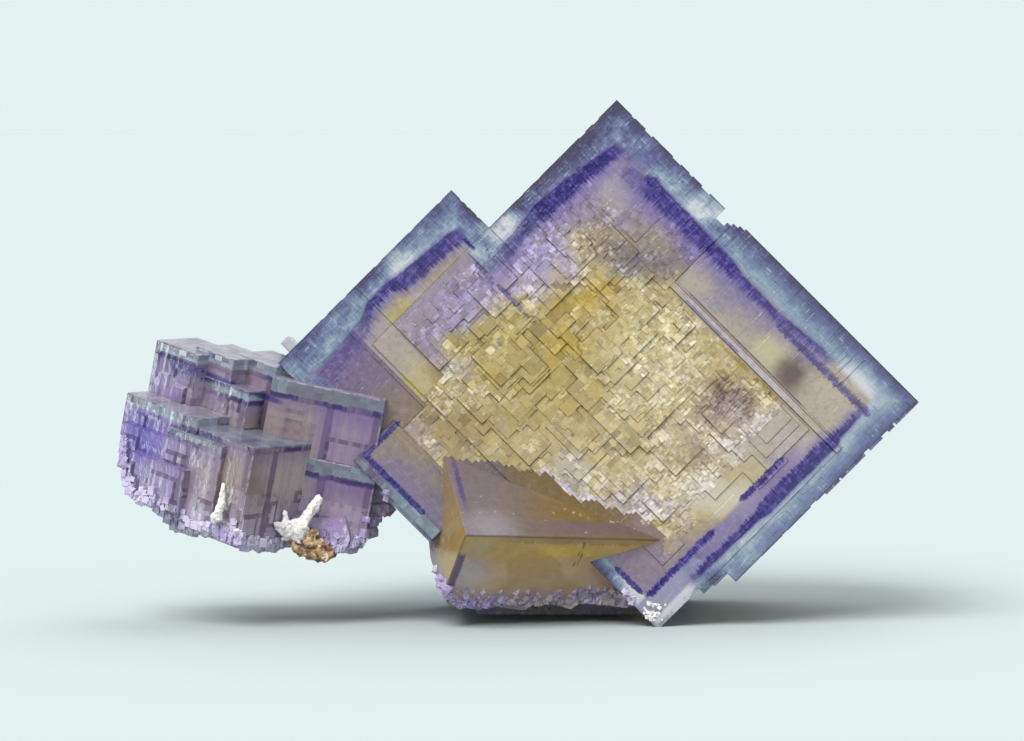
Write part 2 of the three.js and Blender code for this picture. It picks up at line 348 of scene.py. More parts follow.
# ---------------------------------------------------------------------------
# shader helpers
# ---------------------------------------------------------------------------
class Nodes:
    def __init__(self, name):
        self.mat = bpy.data.materials.new(name)
        self.mat.use_nodes = True
        self.nt = self.mat.node_tree
        self.nt.nodes.clear()
        self.out = self.new("ShaderNodeOutputMaterial")
        self._pos = None

    def new(self, kind, **props):
        n = self.nt.nodes.new(kind)
        for k, v in props.items():
            setattr(n, k, v)
        return n

    def put(self, socket, value):
        if hasattr(value, "is_output") or hasattr(value, "links"):
            self.nt.links.new(value, socket)
        else:
            socket.default_value = value

    def math(self, op, a, b=None, c=None, clamp=False):
        n = self.new("ShaderNodeMath", operation=op, use_clamp=clamp)
        self.put(n.inputs[0], a)
        if b is not None:
            self.put(n.inputs[1], b)
        if c is not None:
            self.put(n.inputs[2], c)
        return n.outputs[0]

    def pos(self):
        if self._pos is None:
            self._pos = self.new("ShaderNodeTexCoord").outputs["Object"]
        return self._pos

    def dot(self, vec, const):
        n = self.new("ShaderNodeVectorMath", operation="DOT_PRODUCT")
        self.put(n.inputs[0], vec)
        n.inputs[1].default_value = const
        return n.outputs["Value"]

    def coords(self):
        """x, y, w, p and q of the drawing at the shaded place, and a vector (p, q, w) in mm."""
        ob = self.pos()
        k = 1000.0
        u = self.dot(ob, (k, 0, 0))
        v = self.math("SUBTRACT", self.dot(ob, (0, k * sL, k * cL)), Y_SHIFT * sL)
        w = self.math("ADD", self.dot(ob, (0, -k * cL, k * sL)), Y_SHIFT * cL)
        x = self.math("ADD", self.math("DIVIDE", u, U), X_MID)
        y = self.math("SUBTRACT", Y_FOOT, self.math("DIVIDE", v, U))
        p = self.math("ADD", x, y)
        q = self.math("SUBTRACT", x, y)
        return x, y, w, p, q

    def vec(self, a, b, c):
        n = self.new("ShaderNodeCombineXYZ")
        for i, s in enumerate((a, b, c)):
            self.put(n.inputs[i], s)
        return n.outputs[0]

    def noise(self, vec, scale, detail=3.0, rough=0.55, dist=0.0, out="Fac", dims="3D"):
        n = self.new("ShaderNodeTexNoise", noise_dimensions=dims)
        if vec is not None:
            self.nt.links.new(vec, n.inputs["Vector"])
        n.inputs["Scale"].default_value = scale
        n.inputs["Detail"].default_value = detail
        n.inputs["Roughness"].default_value = rough
        n.inputs["Distortion"].default_value = dist
        return n.outputs[out]

    def ramp(self, fac, stops, interp="LINEAR"):
        n = self.new("ShaderNodeValToRGB")
        n.color_ramp.interpolation = interp
        els = n.color_ramp.elements
        while len(els) > 1:
            els.remove(els[-1])
        els[0].position, els[0].color = stops[0][0], (*stops[0][1], 1)
        for pos, col in stops[1:]:
            e = els.new(pos)
            e.color = (*col, 1)
        self.put(n.inputs[0], fac)
        return n.outputs[0]

    def span(self, v, a, b, lo=0.0, hi=1.0, kind="SMOOTHSTEP"):
        """v mapped from a..b to lo..hi, clamped."""
        n = self.new("ShaderNodeMapRange", interpolation_type=kind)
        self.put(n.inputs["Value"], v)
        self.put(n.inputs["From Min"], a)
        self.put(n.inputs["From Max"], b)
        n.inputs["To Min"].default_value = lo
        n.inputs["To Max"].default_value = hi
        return n.outputs["Result"]

    def mix(self, fac, a, b, mode="MIX"):
        n = self.new("ShaderNodeMix", data_type="RGBA", blend_type=mode, clamp_factor=True)
        self.put(n.inputs[0], fac)
        for s, val in ((n.inputs[6], a), (n.inputs[7], b)):
            if isinstance(val, tuple):
                s.default_value = (*val[:3], 1)
            else:
                self.put(s, val)
        return n.outputs[2]

    def attr(self, name):
        n = self.new("ShaderNodeAttribute", attribute_type="GEOMETRY")
        n.attribute_name = name
        return n.outputs["Fac"]

    def mul(self, *vals):
        out = vals[0]
        for v in vals[1:]:
            out = self.math("MULTIPLY", out, v)
        return out

    def top(self, *vals):
        out = vals[0]
        for v in vals[1:]:
            out = self.math("MAXIMUM", out, v)
        return out

    def blob(self, a, b, ca, cb, ra, rb, hard=0.35):
        """A soft patch round (ca, cb), 1 inside and 0 beyond its radii."""
        v = self.vec(self.math("MULTIPLY", self.math("SUBTRACT", a, ca), 1.0 / ra),
                     self.math("MULTIPLY", self.math("SUBTRACT", b, cb), 1.0 / rb), 0.0)
        n = self.new("ShaderNodeVectorMath", operation="LENGTH")
        self.nt.links.new(v, n.inputs[0])
        return self.span(n.outputs["Value"], hard, 1.0, 1.0, 0.0)

    def stroke(self, t, o, fib, c, a, b, half, low, high, amp, strength, k=0.0, fa=10.0, fb=10.0):
        """A feathered line at t = c (+ k per unit of o) for o between a and b."""
        line = self.math("ADD", self.mul(self.math("SUBTRACT", o, a), k), c) if k else c
        d = self.math("ADD", self.math("SUBTRACT", t, line), self.mul(fib, amp))
        along = self.mul(self.span(o, a - fa, a + fa * 0.3), self.span(o, b - fb * 0.3, b + fb, 1.0, 0.0))
        miss = self.math("SUBTRACT", 1.0, along)
        m = self.mul(self.span(self.math("SUBTRACT", d, self.mul(miss, half + low)), -half - low, -half),
                     self.span(self.math("ADD", d, self.mul(miss, half + high)), half, half + high, 1.0, 0.0))
        return self.mul(m, strength)

    def bump(self, height, strength, dist_mm, normal=None):
        n = self.new("ShaderNodeBump")
        n.inputs["Strength"].default_value = strength
        n.inputs["Distance"].default_value = dist_mm * 0.001
        self.put(n.inputs["Height"], height)
        if normal is not None:
            self.put(n.inputs["Normal"], normal)
        return n.outputs[0]


def srgb(r, g, b):
    def f(c):
        c /= 255.0
        return c / 12.92 if c <= 0.04045 else ((c + 0.055) / 1.055) ** 2.4
    return (f(r), f(g), f(b))


LEFT_DOWN = np.array([-0.186, -0.960, -0.200])
LEFT_BACK = np.array([-0.769, 0.270, -0.580])
RIGHT_BACK = np.array([0.608, 0.043, -0.790])


def left_axes(yaw=0.0):
    t = math.radians(yaw)
    return (LEFT_BACK * math.cos(t) - RIGHT_BACK * math.sin(t),
            LEFT_BACK * math.sin(t) + RIGHT_BACK * math.cos(t), LEFT_DOWN)


def twin_axes(turn=-2.0):
    r = math.radians(turn)
    R = np.array([[math.cos(r), -math.sin(r), 0], [math.sin(r), math.cos(r), 0], [0, 0, 1]])
    s2 = math.sqrt(2)
    return (R @ np.array([2 * s2 / 3, 0, -1 / 3]), R @ np.array([-s2 / 6, 1 / s2, -2 / 3]),
            R @ np.array([-s2 / 6, -1 / s2, -2 / 3]))


IOR = 1.434


def crystal_shader(n, colour, rough, clear, normal=None, absorb=None):
    p = n.new("ShaderNodeBsdfPrincipled")
    n.put(p.inputs["Base Color"], colour if not isinstance(colour, tuple) else (*colour, 1))
    n.put(p.inputs["Roughness"], rough)
    p.inputs["IOR"].default_value = IOR
    n.put(p.inputs["Transmission Weight"], clear)
    if normal is not None:
        n.put(p.inputs["Normal"], normal)
    n.nt.links.new(p.outputs[0], n.out.inputs["Surface"])
    if absorb is not None:
        col, dens = absorb
        a = n.new("ShaderNodeVolumeAbsorption")
        a.inputs["Color"].default_value = (*col, 1)
        a.inputs["Density"].default_value = dens
        n.nt.links.new(a.outputs[0], n.out.inputs["Volume"])
    return p


def sigma(per_mm):
    """Volume Absorption colour and density (per metre) for an absorption per mm."""
    m = max(per_mm)
    return tuple(1 - s / m * 0.98 for s in per_mm), m * 1000 / 0.98


# ---------------------------------------------------------------------------
# materials
# ---------------------------------------------------------------------------
BASE_ABSORB = sigma((0.0045, 0.0060, 0.0050))


def make_front():
    """The two large faces towards the viewer: a rim, purple growth lines, and a body colour
    that each small square of the mosaic carries itself."""
    n = Nodes("fluorite_front_faces")
    x, y, w, p, q = n.coords()
    sub = lambda a, b: n.math("SUBTRACT", a, b)
    add = lambda *v: v[0] if len(v) == 1 else n.math("ADD", v[0], add(*v[1:]))
    low = lambda *v: v[0] if len(v) == 1 else n.math("MINIMUM", v[0], low(*v[1:]))
    fp = sub(n.noise(n.vec(n.mul(p, 0.035), n.mul(q, 0.36), n.mul(w, 0.6)), 1.0, 1.0, 0.6), 0.5)
    fq = sub(n.noise(n.vec(n.mul(q, 0.035), n.mul(p, 0.36), n.mul(w, 0.6)), 1.0, 1.0, 0.6), 0.5)
    soft = n.noise(n.pos(), 110.0, 1.0, 0.5)
    mid = sub(n.noise(n.pos(), 360.0, 2.0, 0.6), 0.5)
    mott = n.noise(n.pos(), 1150.0, 2.0, 0.62)
    tone, wall = n.attr("tone"), n.attr("wall")

    # distances in from the outline of the two cubes, in drawing units
    br = n.span(q, 128, 156, 1290.0, 1318.0)
    left = add(n.mul(sub(q, 28.0), 2.2), n.span(p, 1080, 1130, 300.0, 0.0))
    d_main = low(sub(p, 716.5), sub(br, p), sub(517.0, q), left)
    d_sec = low(sub(p, 641.0), sub(261.5, q), add(q, 104.0), sub(1010.0, p))
    d0 = n.math("MAXIMUM", d_main, d_sec)
    d = add(d0, n.mul(mid, 12.0))

    # rim: mauve grey outside, then slate, pale blue and white, streaked across and along
    streak = add(n.mul(fp, 0.40), n.mul(fq, 0.40), n.mul(mid, 0.75), n.mul(sub(mott, 0.5), 0.55))
    streak = n.mul(streak, n.span(x, 715, 780, 1.0, 0.45))
    drift = n.mul(sub(soft, 0.5), n.span(x, 715, 780, 1.5, 0.9))
    white = n.top(n.mul(n.blob(x, y, 502, 226, 30, 24, 0.3), 0.85), n.mul(n.blob(x, y, 712, 206, 34, 24, 0.3), 0.62),
                  n.mul(n.blob(x, y, 852, 392, 36, 40, 0.2), 0.40), n.mul(n.blob(x, y, 884, 398, 26, 24, 0.3), 0.14), n.mul(n.blob(x, y, 662, 596, 60, 36, 0.3), 0.62),
                  n.mul(n.blob(x, y, 400, 262, 26, 22, 0.3), 0.35))
    lift = add(n.mul(n.span(q, 500, 300), n.span(p, 1150, 1260), 0.26), n.mul(n.span(x, 805, 850), 0.10),
               n.mul(n.span(p, 800, 760), n.span(q, 262, 270), -0.15), n.mul(n.span(q, 262, 255), n.span(p, 716, 700), 0.10))
    f = add(n.span(d0, 2, 34, 0.10, 0.58, kind="LINEAR"), streak, n.mul(drift, 0.55), white, lift)
    rim = n.ramp(f, [(0.0, srgb(88, 80, 110)), (0.16, srgb(100, 98, 142)), (0.34, srgb(122, 132, 174)),
                     (0.50, srgb(144, 160, 188)), (0.66, srgb(168, 188, 206)), (0.80, srgb(196, 208, 220)),
                     (0.92, srgb(220, 226, 238)), (1.0, srgb(244, 242, 246))])
    brick = n.span(n.attr("k0"), 0.0, 1.0, 0.90, 1.09, kind="LINEAR")
    brick = n.math("ADD", 1.0, n.mul(n.math("SUBTRACT", brick, 1.0), n.span(d0, 33.5, 32.5)))
    rim = n.mix(1.0, rim, n.vec(brick, brick, brick), "MULTIPLY")
    # painted shade: a thin dark line along the outer edge of the two faces
    rim = n.mix(n.mul(n.span(d0, 0.8, 3.4, 1.0, 0.0), n.span(mott, 0.30, 0.5, 0.9, 0.40)), rim, srgb(84, 70, 84))
    dirt = n.mul(n.span(mott, 0.55, 0.66), n.span(d0, 3, 11, 1.0, 0.0))
    rim = n.mix(n.mul(dirt, 0.6), rim, srgb(104, 84, 84))
    hair = n.mul(n.top(n.span(fp, 0.14, 0.20), n.span(fq, 0.14, 0.20)), n.span(add(mid, n.mul(mott, 0.6)), 0.28, 0.40), n.span(d0, 4, 12))
    rim = n.mix(n.mul(hair, 0.62), rim, srgb(220, 226, 240))

    # the body colour comes with each cell
    col = n.vec(n.attr("k0"), n.attr("k1"), n.attr("k2"))
    sq = n.span(tone, 0.03, 0.06)
    frosted = n.mul(n.span(add(tone, n.mul(sub(mott, 0.5), 0.9)), 0.42, 0.95), sq)
    clear_sq = n.mul(n.span(tone, 0.34, 0.10), sq)
    col = n.mix(n.mul(frosted, 0.62), col, n.mix(0.45, n.mix(1.0, col, (1.34, 1.36, 1.46), "MULTIPLY"),
                                                srgb(240, 230, 226)))
    col = n.mix(n.mul(clear_sq, 0.5), col, n.mix(1.0, col, (0.88, 0.80, 0.62), "MULTIPLY"))
    col = n.mix(n.mul(n.span(mott, 0.50, 0.38), 0.26), col, n.mix(1.0, col, (0.66, 0.58, 0.50), "MULTIPLY"))
    col = n.mix(n.mul(n.span(mott, 0.56, 0.68), 0.16), col, n.mix(0.5, col, srgb(240, 234, 232)))

    pane = n.mul(n.span(q, 397, 399), n.span(p, 955, 965))
    wx = n.math("MULTIPLY_ADD", mid, 26.0, x)
    wy = n.math("MULTIPLY_ADD", soft, 30.0, sub(y, 15.0))
    col = n.mix(n.mul(n.blob(wx, wy, 771, 350, 30, 26, 0.2), pane, 0.6), col, srgb(214, 206, 158))
    col = n.mix(n.mul(n.blob(wx, wy, 791, 374, 30, 30, 0.15), pane, 0.9), col, srgb(106, 84, 80))
    col = n.mix(n.mul(n.blob(wx, wy, 724, 500, 62, 26, 0.2), 0.6), col, srgb(226, 214, 194))
    # lines and veins
    gap_line = n.mul(n.span(n.math("ABSOLUTE", sub(q, 396.5)), 2.2, 1.0), n.span(p, 975, 990), n.span(p, 1215, 1200))
    hook = n.mul(n.span(n.math("ABSOLUTE", sub(p, 1289.0)), 1.6, 0.7), n.span(q, 100, 130), n.span(q, 398, 396), 0.6)
    gold = n.mul(n.span(n.math("ABSOLUTE", sub(add(q, n.mul(mid, 5.0)), 377.0)), 3.4, 1.2), n.span(p, 1040, 1085),
                 n.span(p, 1200, 1180))
    col = n.mix(n.mul(gold, 0.75), col, srgb(166, 138, 52))
    col = n.mix(n.mul(n.top(gap_line, hook), n.span(mott, 0.35, 0.5, 0.3, 0.8)), col, srgb(120, 98, 104))
    vein = n.mul(n.span(n.math("ABSOLUTE", add(n.mul(fq, 0.7), mid)), 0.07, 0.02), n.blob(p, q, 1128, 334, 48, 44, 0.3))
    col = n.mix(n.mul(vein, 0.9), col, srgb(106, 74, 56))
    body = n.mix(n.top(n.span(d, 40, 52), n.mul(n.span(p, 813, 814), n.span(q, -24, -30))), rim, col)

    # purple growth lines
    def track(t, o, fib, o0, o1, c0, cr, wr, stops, lo=3.0, hi=9.0, amp=12.0):
        r = n.ramp(n.span(o, o0, o1, kind="LINEAR"),
                   [((k[0] - o0) / (o1 - o0), ((k[1] - c0) / cr, k[2] / wr, k[3])) for k in stops])
        sp = n.new("ShaderNodeSeparateColor")
        n.nt.links.new(r, sp.inputs[0])
        a = n.math("MULTIPLY_ADD", sp.outputs[0], -cr, sub(t, c0))
        ao = n.math("MULTIPLY_ADD", fib, amp * 0.3, n.math("MULTIPLY_ADD", mid, amp * 0.35, a))
        ai = n.math("MULTIPLY_ADD", sp.outputs[1], -wr, n.math("MULTIPLY_ADD", fib, amp * 1.3, n.math("MULTIPLY_ADD", mid, amp * 0.9, a)))
        st = sp.outputs[2]
        deep = n.mul(n.span(ao, -lo, 0.5), n.span(ai, 0.0, hi, 1.0, 0.0), st)
        mist = n.mul(n.span(ao, -lo - 5, 1.0), n.span(ai, 0.0, hi * 3.6, 1.0, 0.0), n.math("SQRT", st))
        return deep, mist

    T1 = track(sub(p, 716.5), q, fp, 200, 480, 20, 40, 24, [
        (200, 36, 6, 0), (226, 36, 8, 0.25), (260, 32, 14, 0.5), (318, 26, 14, 0.6), (326, 24, 20, 1),
        (400, 32, 16, 1), (452, 40, 13, 1), (468, 44, 10, 0.8), (476, 44, 10, 0)], amp=13.0)
    T2 = track(sub(517.0, q), p, fq, 780, 1300, 30, 50, 30, [
        (786, 52, 10, 0), (800, 52, 14, 0.38), (828, 48, 18, 0.42), (842, 42, 20, 0.9), (930, 44, 17, 0.90), (1000, 46, 13, 0.95),
        (1016, 51, 6, 0.85), (1090, 51, 5, 0.8), (1176, 44, 4, 0.7), (1200, 44, 4, 0)], amp=12.0, hi=12.0)
    T3 = track(sub(1318.0, p), q, fp, 90, 480, 30, 30, 24, [
        (100, 44, 4, 0), (130, 43, 7, 0.9), (240, 40, 8, 0.95), (256, 36, 18, 0.9), (390, 36, 17, 0.86), (402, 40, 7, 0.9),
        (440, 42, 6, 0.7), (462, 42, 6, 0)], amp=11.0, hi=5.0)
    S1 = track(sub(p, 641.0), q, fp, -90, 240, 20, 50, 30, [
        (-90, 56, 16, 0.12), (-40, 48, 22, 0.25), (40, 40, 12, 0.5), (64, 30, 7, 0.9), (104, 30, 10, 0.95),
        (116, 32, 18, 0.86), (214, 42, 18, 0.86), (228, 46, 12, 0.6), (236, 46, 8, 0)], amp=14.0)
    in_s = n.span(n.math("MAXIMUM", sub(716.5, p), sub(28.0, q)), -2, 2)
    S2 = n.mul(n.span(n.math("ABSOLUTE", sub(add(q, n.mul(fq, 5.0)), 225.0)), 3.4, 1.6), n.span(p, 698, 703), n.span(p, 728, 720))
    out_s = sub(1.0, in_s)
    S = lambda *a, **k: n.stroke(*a, **k)
    thin = n.top(
        S(q, p, fq, 453, 1104, 1282, 3, 3, 7, 12, 0.75),
        S(p, q, fp, 1241, 243, 322, 3, 2, 4, 8, 0.95),
        S(p, q, fp, 1244, 54, 180, 3, 3, 4, 8, 1.0),
        S(q, p, fq, 48, 1186, 1232, 3, 2, 3, 6, 0.95))
    third = n.top(
        S(q, p, fq, -90, 822, 936, 3, 2, 3, 5, 1.0, fb=6.0),
        S(p, q, fp, 821, -90, -24, 2.2, 2, 3, 5, 0.9, fb=6.0))
    faint = n.mul(S(q, p, fq, 212, 740, 856, 2.2, 2, 4, 6, 0.7), n.span(mott, 0.42, 0.5))
    deep = n.top(n.mul(n.top(T1[0], T2[0], T3[0], thin), out_s), n.mul(S1[0], in_s), S2, faint,
                 n.mul(third, n.span(p, 812, 816)), n.mul(n.blob(x, y, 652, 182, 12, 11, 0.4), n.span(mott, 0.30, 0.5)))
    mist = n.top(n.mul(n.top(T1[1], T2[1], T3[1]), out_s), n.mul(S1[1], in_s))
    between = n.mul(n.span(p, 1238, 1246), n.span(q, 372, 330), n.span(p, 1276, 1270), 0.8)
    mist = n.top(mist, between, n.mul(n.blob(x, y, 641, 160, 26, 18, 0.35), 0.8))
    grain = add(n.mul(sub(mott, 0.5), 1.0), n.mul(fp, 0.55), n.mul(fq, 0.55))
    body = n.mix(n.mul(mist, n.span(grain, -0.35, 0.25, 0.55, 0.9)), body,
                 n.mix(n.span(grain, -0.2, 0.3), srgb(98, 80, 158), srgb(146, 130, 190)))
    deep = n.mul(deep, n.span(grain, 0.34, 0.02, 0.62, 1.0))
    body = n.mix(deep, body, n.mix(n.span(grain, -0.15, 0.22), srgb(38, 22, 112), srgb(88, 68, 166)))
    # painted shade: the walls of the steps between cells are darkened, more where the step is taller
    body = n.mix(n.top(n.span(wall, 0.02, 0.12, 0.0, 0.45), n.span(wall, 0.12, 0.34, 0.0, 0.86)), body,
                 n.mix(1.0, body, (0.32, 0.24, 0.27), "MULTIPLY"))

    frost = n.span(d, 42, 56)
    rough = add(n.mul(frost, add(0.10, n.mul(frosted, 0.3))), n.mul(mott, 0.14))
    clear = sub(0.52, n.mul(frost, add(0.10, n.mul(frosted, 0.16))))
    h = n.noise(n.vec(n.mul(p, 0.24), n.mul(q, 0.24), n.mul(w, 1.6)), 1.0, 2.0, 0.66)
    crystal_shader(n, body, rough, clear, n.bump(h, 0.55, 0.12), BASE_ABSORB)
    return n.mat


def make_side():
    """The sides and the back: the same zones, counted in from each cube's own edges."""
    n = Nodes("fluorite_side_faces")
    x, y, w, p, q = n.coords()
    sub = lambda a, b: n.math("SUBTRACT", a, b)
    low = lambda a, b: n.math("MINIMUM", a, b)
    md = lambda a, b, c: n.math("MAXIMUM", low(a, b), low(n.math("MAXIMUM", a, b), c))
    mid = sub(n.noise(n.pos(), 360.0, 2.0, 0.6), 0.5)
    mott = n.noise(n.pos(), 1150.0, 2.0, 0.62)
    off = lambda v, a: n.math("ABSOLUTE", sub(v, a))
    aw = n.mul(low(off(w, 0.0), off(w, -44.0)), 9.43)
    dm = md(low(off(p, 716.5), off(p, 1318.0)), low(off(q, 28.0), off(q, 517.0)), aw)
    bw = n.mul(low(off(w, 0.0), off(w, -36.0)), 9.43)
    dsec = md(low(off(p, 641.0), off(p, 1010.0)), low(off(q, -85.0), off(q, 261.5)), bw)
    k = n.span(n.math("MAXIMUM", sub(716.5, p), sub(28.0, q)), -2, 0)
    ds = n.math("ADD", dm, n.mul(k, sub(dsec, dm)))
    fib = sub(n.noise(n.vec(n.mul(p, 0.08), n.mul(q, 0.08), n.mul(w, 2.2)), 1.0, 1.0, 0.6), 0.5)
    ds = n.math("ADD", ds, n.math("ADD", n.mul(mid, 14.0), n.mul(fib, 10.0)))
    f = n.math("ADD", n.span(ds, 0, 150, kind="LINEAR"), n.mul(n.span(ds, 42, 30), n.math("ADD", n.mul(mid, 0.22), n.mul(fib, 0.16))))
    col = n.ramp(f, [
        (0.0, srgb(112, 100, 132)), (0.05, srgb(132, 138, 172)), (0.13, srgb(148, 172, 198)), (0.2, srgb(178, 202, 216)),
        (0.28, srgb(160, 162, 204)), (0.31, srgb(62, 44, 134)), (0.36, srgb(92, 72, 162)),
        (0.45, srgb(170, 156, 196)), (0.75, srgb(198, 182, 172)), (1.0, srgb(216, 198, 150))])
    thread = n.mul(n.span(n.math("ABSOLUTE", mid), 0.022, 0.004), n.span(mott, 0.42, 0.56), 0.6)
    col = n.mix(thread, col, srgb(224, 228, 240))
    col = n.mix(n.mul(n.span(mott, 0.52, 0.38), 0.3), col, n.mix(1.0, col, (0.66, 0.62, 0.66), "MULTIPLY"))
    h = n.noise(n.vec(n.mul(p, 0.14), n.mul(q, 0.14), n.mul(w, 1.8)), 1.0, 2.0, 0.66)
    crystal_shader(n, col, n.math("ADD", 0.02, n.mul(mott, 0.14)), 0.66, n.bump(h, 0.6, 0.12), BASE_ABSORB)
    return n.mat


def make_twin():
    """The corner of a cube in twin position, with its zones laid out from its own corner."""
    n = Nodes("fluorite_twin")
    x, y, w, p, q = n.coords()
    sub = lambda a, b: n.math("SUBTRACT", a, b)
    P = n.vec(n.mul(x, 1.0), n.mul(y, -1.0), n.mul(w, 1.0 / U))
    o = np.array([466.0, -533.0, 10.5 / U])
    ax = []
    for e in twin_axes():
        ax.append(sub(n.dot(P, tuple(e)), float(np.dot(o, e))))
    A, B, C = ax
    mott = n.noise(n.pos(), 800.0, 2.0, 0.6)
    soft = n.noise(n.pos(), 85.0, 1.0, 0.5)
    wob = n.mul(sub(soft, 0.5), 26.0)
    ra = n.mul(sub(n.noise(n.vec(n.mul(A, 0.03), n.mul(B, 0.3), n.mul(C, 0.3)), 1.0, 1.0, 0.6), 0.5), 12.0)
    rb = n.mul(sub(n.noise(n.vec(n.mul(A, 0.3), n.mul(B, 0.05), n.mul(C, 0.05)), 1.0, 1.0, 0.6), 0.5), 12.0)
    upper = n.mul(n.span(C, 3.0, 1.0), n.span(A, 0.5, 2.0))
    left = n.span(A, 2.0, 0.8)
    # upper face
    t = n.mix(n.span(n.math("ADD", n.math("ADD", A, n.mul(B, -0.35)), wob), 20, 110), srgb(132, 118, 118),
              srgb(134, 108, 60))
    t = n.mix(n.mul(n.blob(A, B, 30, 14, 40, 30, 0.2), 0.8), t, srgb(158, 146, 150))
    t = n.mix(n.mul(n.blob(A, B, 120, 70, 60, 34, 0.2), 0.5), t, srgb(152, 124, 66))
    band = n.mul(n.span(n.math("ADD", B, rb), 2, 6), n.span(n.math("ADD", B, rb), 16, 28, 1.0, 0.0), n.span(A, 40, 110))
    t = n.mix(n.mul(band, 0.6), t, srgb(116, 98, 118))
    line = n.mul(n.span(n.math("ABSOLUTE", sub(n.math("ADD", A, n.mul(ra, 0.35)), 9.0)), 1.2, 4.2, 1.0, 0.0),
                 n.span(B, 24, 60), n.span(B, 125, 80))
    t = n.mix(n.mul(line, 0.8), t, srgb(88, 66, 132))
    # lower face
    l = n.mix(n.span(n.math("ADD", C, wob), 20, 62), srgb(214, 172, 96), srgb(216, 176, 134))
    l = n.mix(n.mul(n.blob(A, C, 112, 20, 46, 11, 0.2), 0.85), l, srgb(236, 194, 68))
    l = n.mix(n.mul(n.blob(A, C, 12, 58, 44, 44, 0.2), 0.85), l, srgb(204, 188, 186))
    l = n.mix(n.mul(n.blob(A, C, 20, 16, 26, 16, 0.2), 0.6), l, srgb(192, 176, 138))
    l = n.mix(n.mul(n.span(n.math("ADD", C, rb), 11, 8, 0.0, 1.0), n.span(A, 26, 60), 0.6), l, srgb(164, 130, 74))
    l = n.mix(n.mul(n.span(n.math("ADD", C, wob), 74, 96), 0.8), l, srgb(192, 168, 186))
    stripe = n.mul(n.span(n.math("ABSOLUTE", sub(n.math("ADD", A, n.mul(ra, 0.3)), 4.0)), 3.0, 6.0, 1.0, 0.0),
                   n.span(C, 24, 32))
    l = n.mix(n.mul(stripe, 0.85), l, srgb(84, 62, 120))
    crack = n.mul(n.span(n.math("ABSOLUTE", sub(n.math("ADD", A, n.mul(rb, 1.3)), 128.0)), 0.6, 1.6, 1.0, 0.0),
                  n.span(C, 6, 8), n.span(C, 44, 40))
    l = n.mix(n.mul(crack, 0.7), l, srgb(92, 70, 40))
    # narrow left face
    s = n.mix(n.span(n.math("ADD", B, wob), 10, 90), srgb(188, 156, 86), srgb(170, 144, 108))
    s = n.mix(n.mul(n.span(C, 60, 90), 0.8), s, srgb(156, 138, 152))
    col = n.mix(left, n.mix(upper, l, t), s)
    # painted shade: a dark line along the edges of the twin corner
    edge = n.math("MAXIMUM", n.math("MINIMUM", A, B), n.math("MINIMUM", n.math("MAXIMUM", A, B), C))
    col = n.mix(n.mul(n.span(edge, 0.6, 2.0, 1.0, 0.0), 0.55), col, srgb(96, 78, 92))
    col = n.mix(n.span(mott, 0.3, 0.62, 0.24, 0.0), col, n.mix(1.0, col, (0.62, 0.58, 0.60), "MULTIPLY"))
    speck = n.mul(n.span(mott, 0.68, 0.74), 0.5)
    col = n.mix(speck, col, srgb(220, 208, 200))
    nor = n.bump(n.noise(n.vec(n.mul(A, 0.06), n.mul(B, 0.12), n.mul(C, 0.12)), 1.0, 2.0, 0.65), 0.35, 0.16)
    crystal_shader(n, col, n.math("ADD", 0.03, n.mul(mott, 0.14)), 0.40, nor, BASE_ABSORB)
    return n.mat


